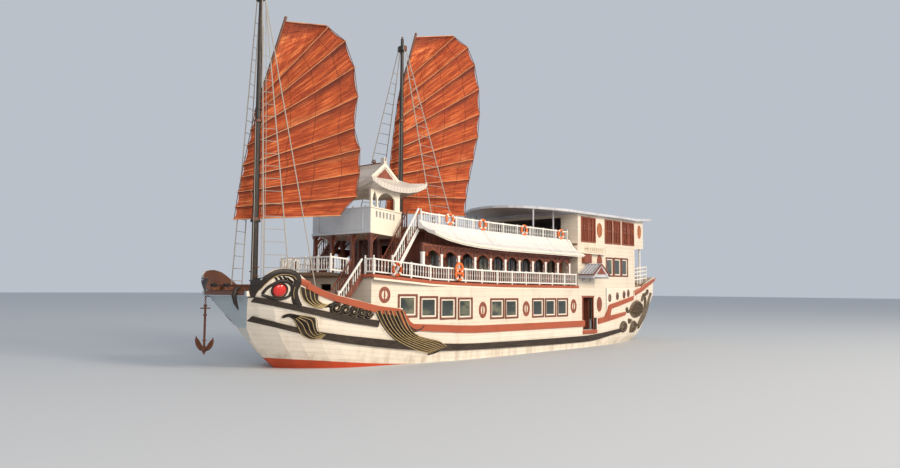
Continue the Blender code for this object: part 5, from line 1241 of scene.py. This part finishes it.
def parapet():
    """Caps, ledges and panels of the parapet. The front is blue-grey all over as painted shade, with a thin plate
    across the whole front face.
    """
    lift = sheer(PAV_FORE)
    floor, top = PAV_FLOOR + lift, PAV_PARAPET + lift
    item = bench("parapet_caps")
    for base, out, up, wide, high in ((PAV_PARAPET, 0.01, 0.02, 0.10, 0.07), (PAV_FLOOR, 0.02, 0.05, 0.07, 0.12)):
        y = PAV_HALF + out
        plank((PAV_AFT, y, base + sheer(PAV_AFT) + up), (PAV_FORE + 0.04, y, base + lift + up), wide, high)
    for x, wide in ((PAV_AFT + 0.32, 0.40), (PAV_FORE - 0.08, 0.16)):
        for z in (PAV_PARAPET + sheer(x) + 0.02, PAV_SEAT - 0.14):
            block((x - wide / 2 - 0.02, PAV_HALF - 0.13, z), (x + wide / 2 + 0.02, PAV_HALF + 0.02, z + 0.10))
    done(item, "cream_trim", bevel=0.010, twin=True)
    # The front's caps are blue-grey: painted shade
    boxes("front_parapet_caps", "panel", 0.010,
          ((PAV_FORE - 0.02, -PAV_HALF - 0.03, top - 0.02), (PAV_FORE + 0.05, PAV_HALF + 0.03, top + 0.05)),
          ((PAV_FORE, -PAV_HALF - 0.03, floor), (PAV_FORE + 0.05, PAV_HALF + 0.03, floor + 0.10)),
          *[((PAV_FORE - 0.05, y - 0.06, top + 0.04), (PAV_FORE + 0.03, y + 0.06, top + 0.14))
            for y in spread(-2.0, 2.0, 5)], twin=False)
    # A thin blue-grey plate over the whole front face as painted shade, with the bare name board on it
    boxes("name_board_and_painted_shade", "panel", 0.006,
          ((PAV_FORE, -PAV_HALF, floor + 0.02), (PAV_FORE + 0.012, PAV_HALF, top)),
          ((PAV_FORE, -1.75, floor + 0.20), (PAV_FORE + 0.03, 1.75, top - 0.20)),
          *[((PAV_FORE, -1.80, z), (PAV_FORE + 0.05, 1.80, z + 0.05)) for z in (floor + 0.17, top - 0.22)],
          *[((PAV_FORE, y, floor + 0.17), (PAV_FORE + 0.05, y + 0.05, top - 0.17)) for y in (-1.82, 1.77)], twin=False)


def pavilion_legs():
    """Brown sleeves on the legs, with a curved bracket and a scroll in each corner under the floor."""
    item = bench("pavilion_leg_sleeves")
    for x in (LEG_AFT, LEG_FORE):
        low, high = MAIN_DECK + sheer(x), PAV_FLOOR + sheer(x)
        for y in (LEG_OUTER, LEG_INNER):
            for half, foot, head in ((0.095, low + 0.01, high - 0.012), (0.13, low + 0.01, low + 0.14),
                                     (0.13, high - 0.16, high - 0.013)):
                block((x - half, y - half, foot), (x + half, y + half, head))
    done(item, "carved", bevel=0.012, twin=True)
    brackets = []
    for x, y, side, plane in ((LEG_FORE, LEG_OUTER, -1, "yz"), (LEG_FORE, LEG_INNER, 1, "yz"),
                              (LEG_FORE, LEG_INNER, -1, "yz"), (LEG_FORE, LEG_OUTER, -1, "xz"),
                              (LEG_AFT, LEG_OUTER, 1, "xz"), (LEG_AFT, LEG_OUTER, -1, "xz")):
        corner = Vector((x, y, PAV_FLOOR + sheer(x)))
        out = Vector((0, side, 0)) if plane == "yz" else Vector((side, 0, 0))
        brackets.append(tube([corner + out * s - Vector((0, 0, 0.13 + 0.62 * (1 - s / 0.55) ** 2))
                              for s in spread(0.08, 0.55, 8)], 0.035))
        scroll = spiral(corner + out * 0.22 - Vector((0, 0, 0.28)), 0.10, 1.4, 0.0, plane, flip=side)
        brackets.append(tube(scroll, 0.020))
    done(joined(brackets, "pavilion_brackets"), "shutter", twin=True, smooth=60)


def pavilion_roof_trim():
    """Gable boards, pediments, ridge cap with its horns, and the turned-up tips of the eaves."""
    item = bench("pavilion_bargeboards")
    for side in (-1, 1):
        plank((PAV_MIDDLE + side * 1.10, 2.315, PAV_SEAT + 0.52), (PAV_MIDDLE, 2.315, PAV_SEAT + 1.43), 0.06, 0.16)
    done(item, "cream_trim", bevel=0.012, twin=True)
    item = warped(4, 4, lambda u, v: (PAV_MIDDLE + (2 * u - 1) * 0.62 * (1 - v), 2.312, PAV_SEAT + 0.66 + 0.52 * v))
    apply_modifier(item, "SOLIDIFY", thickness=0.03, offset=0.0)
    in_edit(item, bpy.ops.mesh.remove_doubles, threshold=0.001)
    done(item, "shutter", "pavilion_pediment", twin=True)
    boxes("pavilion_ridge_cap", "brown", 0.015,
          ((PAV_MIDDLE - 0.08, -2.10, PAV_SEAT + 1.50), (PAV_MIDDLE + 0.08, 2.10, PAV_SEAT + 1.56)), twin=False)
    horns = [tube(spiral((PAV_MIDDLE, 2.12 * y / 1.5, PAV_SEAT + 1.66), 0.16, 1.3, -pi / 2, "yz"), 0.035)
             for y in (1.0, 1.5)]
    horns.append(tube([(PAV_MIDDLE, y, PAV_SEAT + up) for y, up in ((2.2, 1.56), (2.32, 1.66), (2.30, 1.78))], 0.05))
    done(joined(horns, "ridge_horns"), "carved", twin=True, smooth=60)
    tips = [tube([(x + turn * out, y, PAV_SEAT + 0.38 + up) for out, y, up in (
        (-0.10, 2.90, 0.0), (0.06, 2.94, 0.14), (0.04, 2.95, 0.26), (-0.05, 2.93, 0.28))], 0.035)
        for x, turn in ((12.10, 1), (8.02, -1))]
    done(joined(tips, "roof_tips"), "cream_trim", twin=True, smooth=60)


parapet()
pavilion_legs()
pavilion_roof_trim()


# ---------------------------------------- loose gear

def torus(place, radius, thick, around, sides, turn=0.0):
    """An upright ring, turned about the upright axis."""
    bpy.ops.mesh.primitive_torus_add(major_radius=radius, minor_radius=thick, major_segments=around,
                                     minor_segments=sides, location=place, rotation=(pi / 2, 0, turn))
    return bpy.context.object


def life_rings():
    """Life rings on the rails, each with four bands."""
    radius, rings, bands = 0.285, [], []
    for x, y, z in ((11.54, 4.19, 4.95), (6.72, 4.27, 4.78), (6.74, 3.56, 7.95), (3.73, 3.56, 7.84),
                    (-0.55, 3.56, 7.79), (-4.87, 3.56, 7.78)):
        rings.append(torus((x, y + 0.06, z), radius, 0.072, 32, 12))
        for middle in (pi / 4 + quarter * pi / 2 for quarter in range(4)):
            bands.append(tube([(x + radius * cos(a), y + 0.06, z + radius * sin(a))
                               for a in spread(middle - 0.16, middle + 0.16, 5)], 0.077, 2))
    done(joined(rings, "life_rings"), "orange", twin=True, smooth=60)
    done(joined(bands, "life_ring_bands"), "white", twin=True, smooth=60)


def anchor_parts():
    """The hanging anchor: ring, shank with its bands, crown, curved flukes and pins."""
    low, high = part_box("anchor")
    x, y, foot = (low.x + high.x) / 2, (low.y + high.y) / 2, low.z + 0.30
    parts = [tube([(x, y, foot + 0.05), (x, y, high.z - 0.42)], 0.055, 2),
             turned([(0.0, 0.16), (0.07, 0.15), (0.10, 0.10), (0.13, 0.0), (0.10, -0.12), (0.05, -0.20), (0.0, -0.22)],
                    (x, y, foot), sides=14)]
    across = Vector((1, 0, 0)) if high.x - low.x > high.y - low.y else Vector((0, 1, 0))
    flat = Vector((across.y, across.x, 0))
    stock = Vector((x, y, high.z - 0.62))
    parts.append(tube([stock - flat * 0.26, stock + flat * 0.26], 0.032))
    parts += [torus((x, y, min(high.z - 0.40 + i * 0.075, high.z - 0.04)), 0.045, 0.014, 14, 8, (i % 2) * pi / 2)
              for i in range(6)]
    parts += [turned([(0.05, -0.04), (0.085, -0.04), (0.085, 0.04), (0.05, 0.04), (0.05, -0.04)], (x, y, z), sides=12)
              for z in (high.z - 0.50, high.z - 0.95, foot + 0.42)]
    half = 0.80
    for side in (-1, 1):
        def palm(u, v):
            wide = 0.17 * (1 - u) ** 0.6 * (0.35 + u) * 1.6
            rise = 0.62 * u ** 1.7 + 0.06 * (1 - abs(2 * v - 1))
            return (Vector((x, y, foot - 0.08 + rise)) + across * side * half * (0.12 + 0.86 * u)
                    + flat * (2 * v - 1) * wide)

        plate = warped(8, 4, palm)
        apply_modifier(plate, "SOLIDIFY", thickness=0.035, offset=0.0)
        arm = [Vector((x, y, foot - 0.10)) + across * side * half * s + Vector((0, 0, 0.60 * s ** 1.8))
               for s in spread(0.0, 0.92, 8)]
        parts += [plate, tube(arm, 0.045)]
    parts += [tube([(x, y + out, foot - 0.05), (x, y + out, low.z + 0.02)], 0.018) for out in (-0.05, 0.05)]
    item = done(joined(parts, "hanging_anchor"), "rust", smooth=50)
    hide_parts("anchor")


def bow_gear():
    """Timbers, a roller and a dark horn on the flat of the bow above the anchor, and the winch on the foredeck."""
    top = NODES["bow_bulwark"].ray_cast(Vector((18.6, 0.1, 9)), Vector((0, 0, -1)))[1].z
    item = bench("bow_timbers")
    for y in (-0.9, 0.35):
        plank((17.6, y, top + 0.09), (19.02, y * 0.9, top + 0.11), 0.22, 0.18)
    plank((18.45, -1.55, top + 0.24), (18.45, 1.55, top + 0.24), 0.20, 0.14)
    done(item, "rust", bevel=0.02)
    horn = [(18.62, 1.02, 3.98, 0.5), (18.86, 1.02, 3.92, 1.0), (18.94, 1.00, 3.62, 1.2), (18.84, 0.98, 3.28, 1.0),
            (18.66, 0.96, 2.96, 0.35)]
    done(tube(horn, 0.10, 3), "black", "bow_horn", smooth=60)
    roller = [(0.0, -0.16), (0.09, -0.16), (0.06, -0.08), (0.06, 0.08), (0.09, 0.16), (0.0, 0.16)]
    rollers = [turned(roller, (18.9, y, top + 0.27), "Y", 14) for y in (-0.8, 0.3)]
    done(joined(rollers, "bow_rollers"), "iron", smooth=50)
    drum = [(0.0, -0.55), (0.22, -0.55), (0.22, -0.50), (0.12, -0.48), (0.12, 0.48), (0.22, 0.50), (0.22, 0.55),
            (0.0, 0.55)]
    winch = [turned(drum, (16.0, 0.0, 3.28), "Y", 20), bench("winch_cheeks")]
    for y in (-0.62, 0.56):
        block((15.80, y, 2.91), (16.20, y + 0.06, 3.52))
    done(joined(winch, "foredeck_winch"), "rust", bevel=0.008, smooth=50)


life_rings()
anchor_parts()
bow_gear()
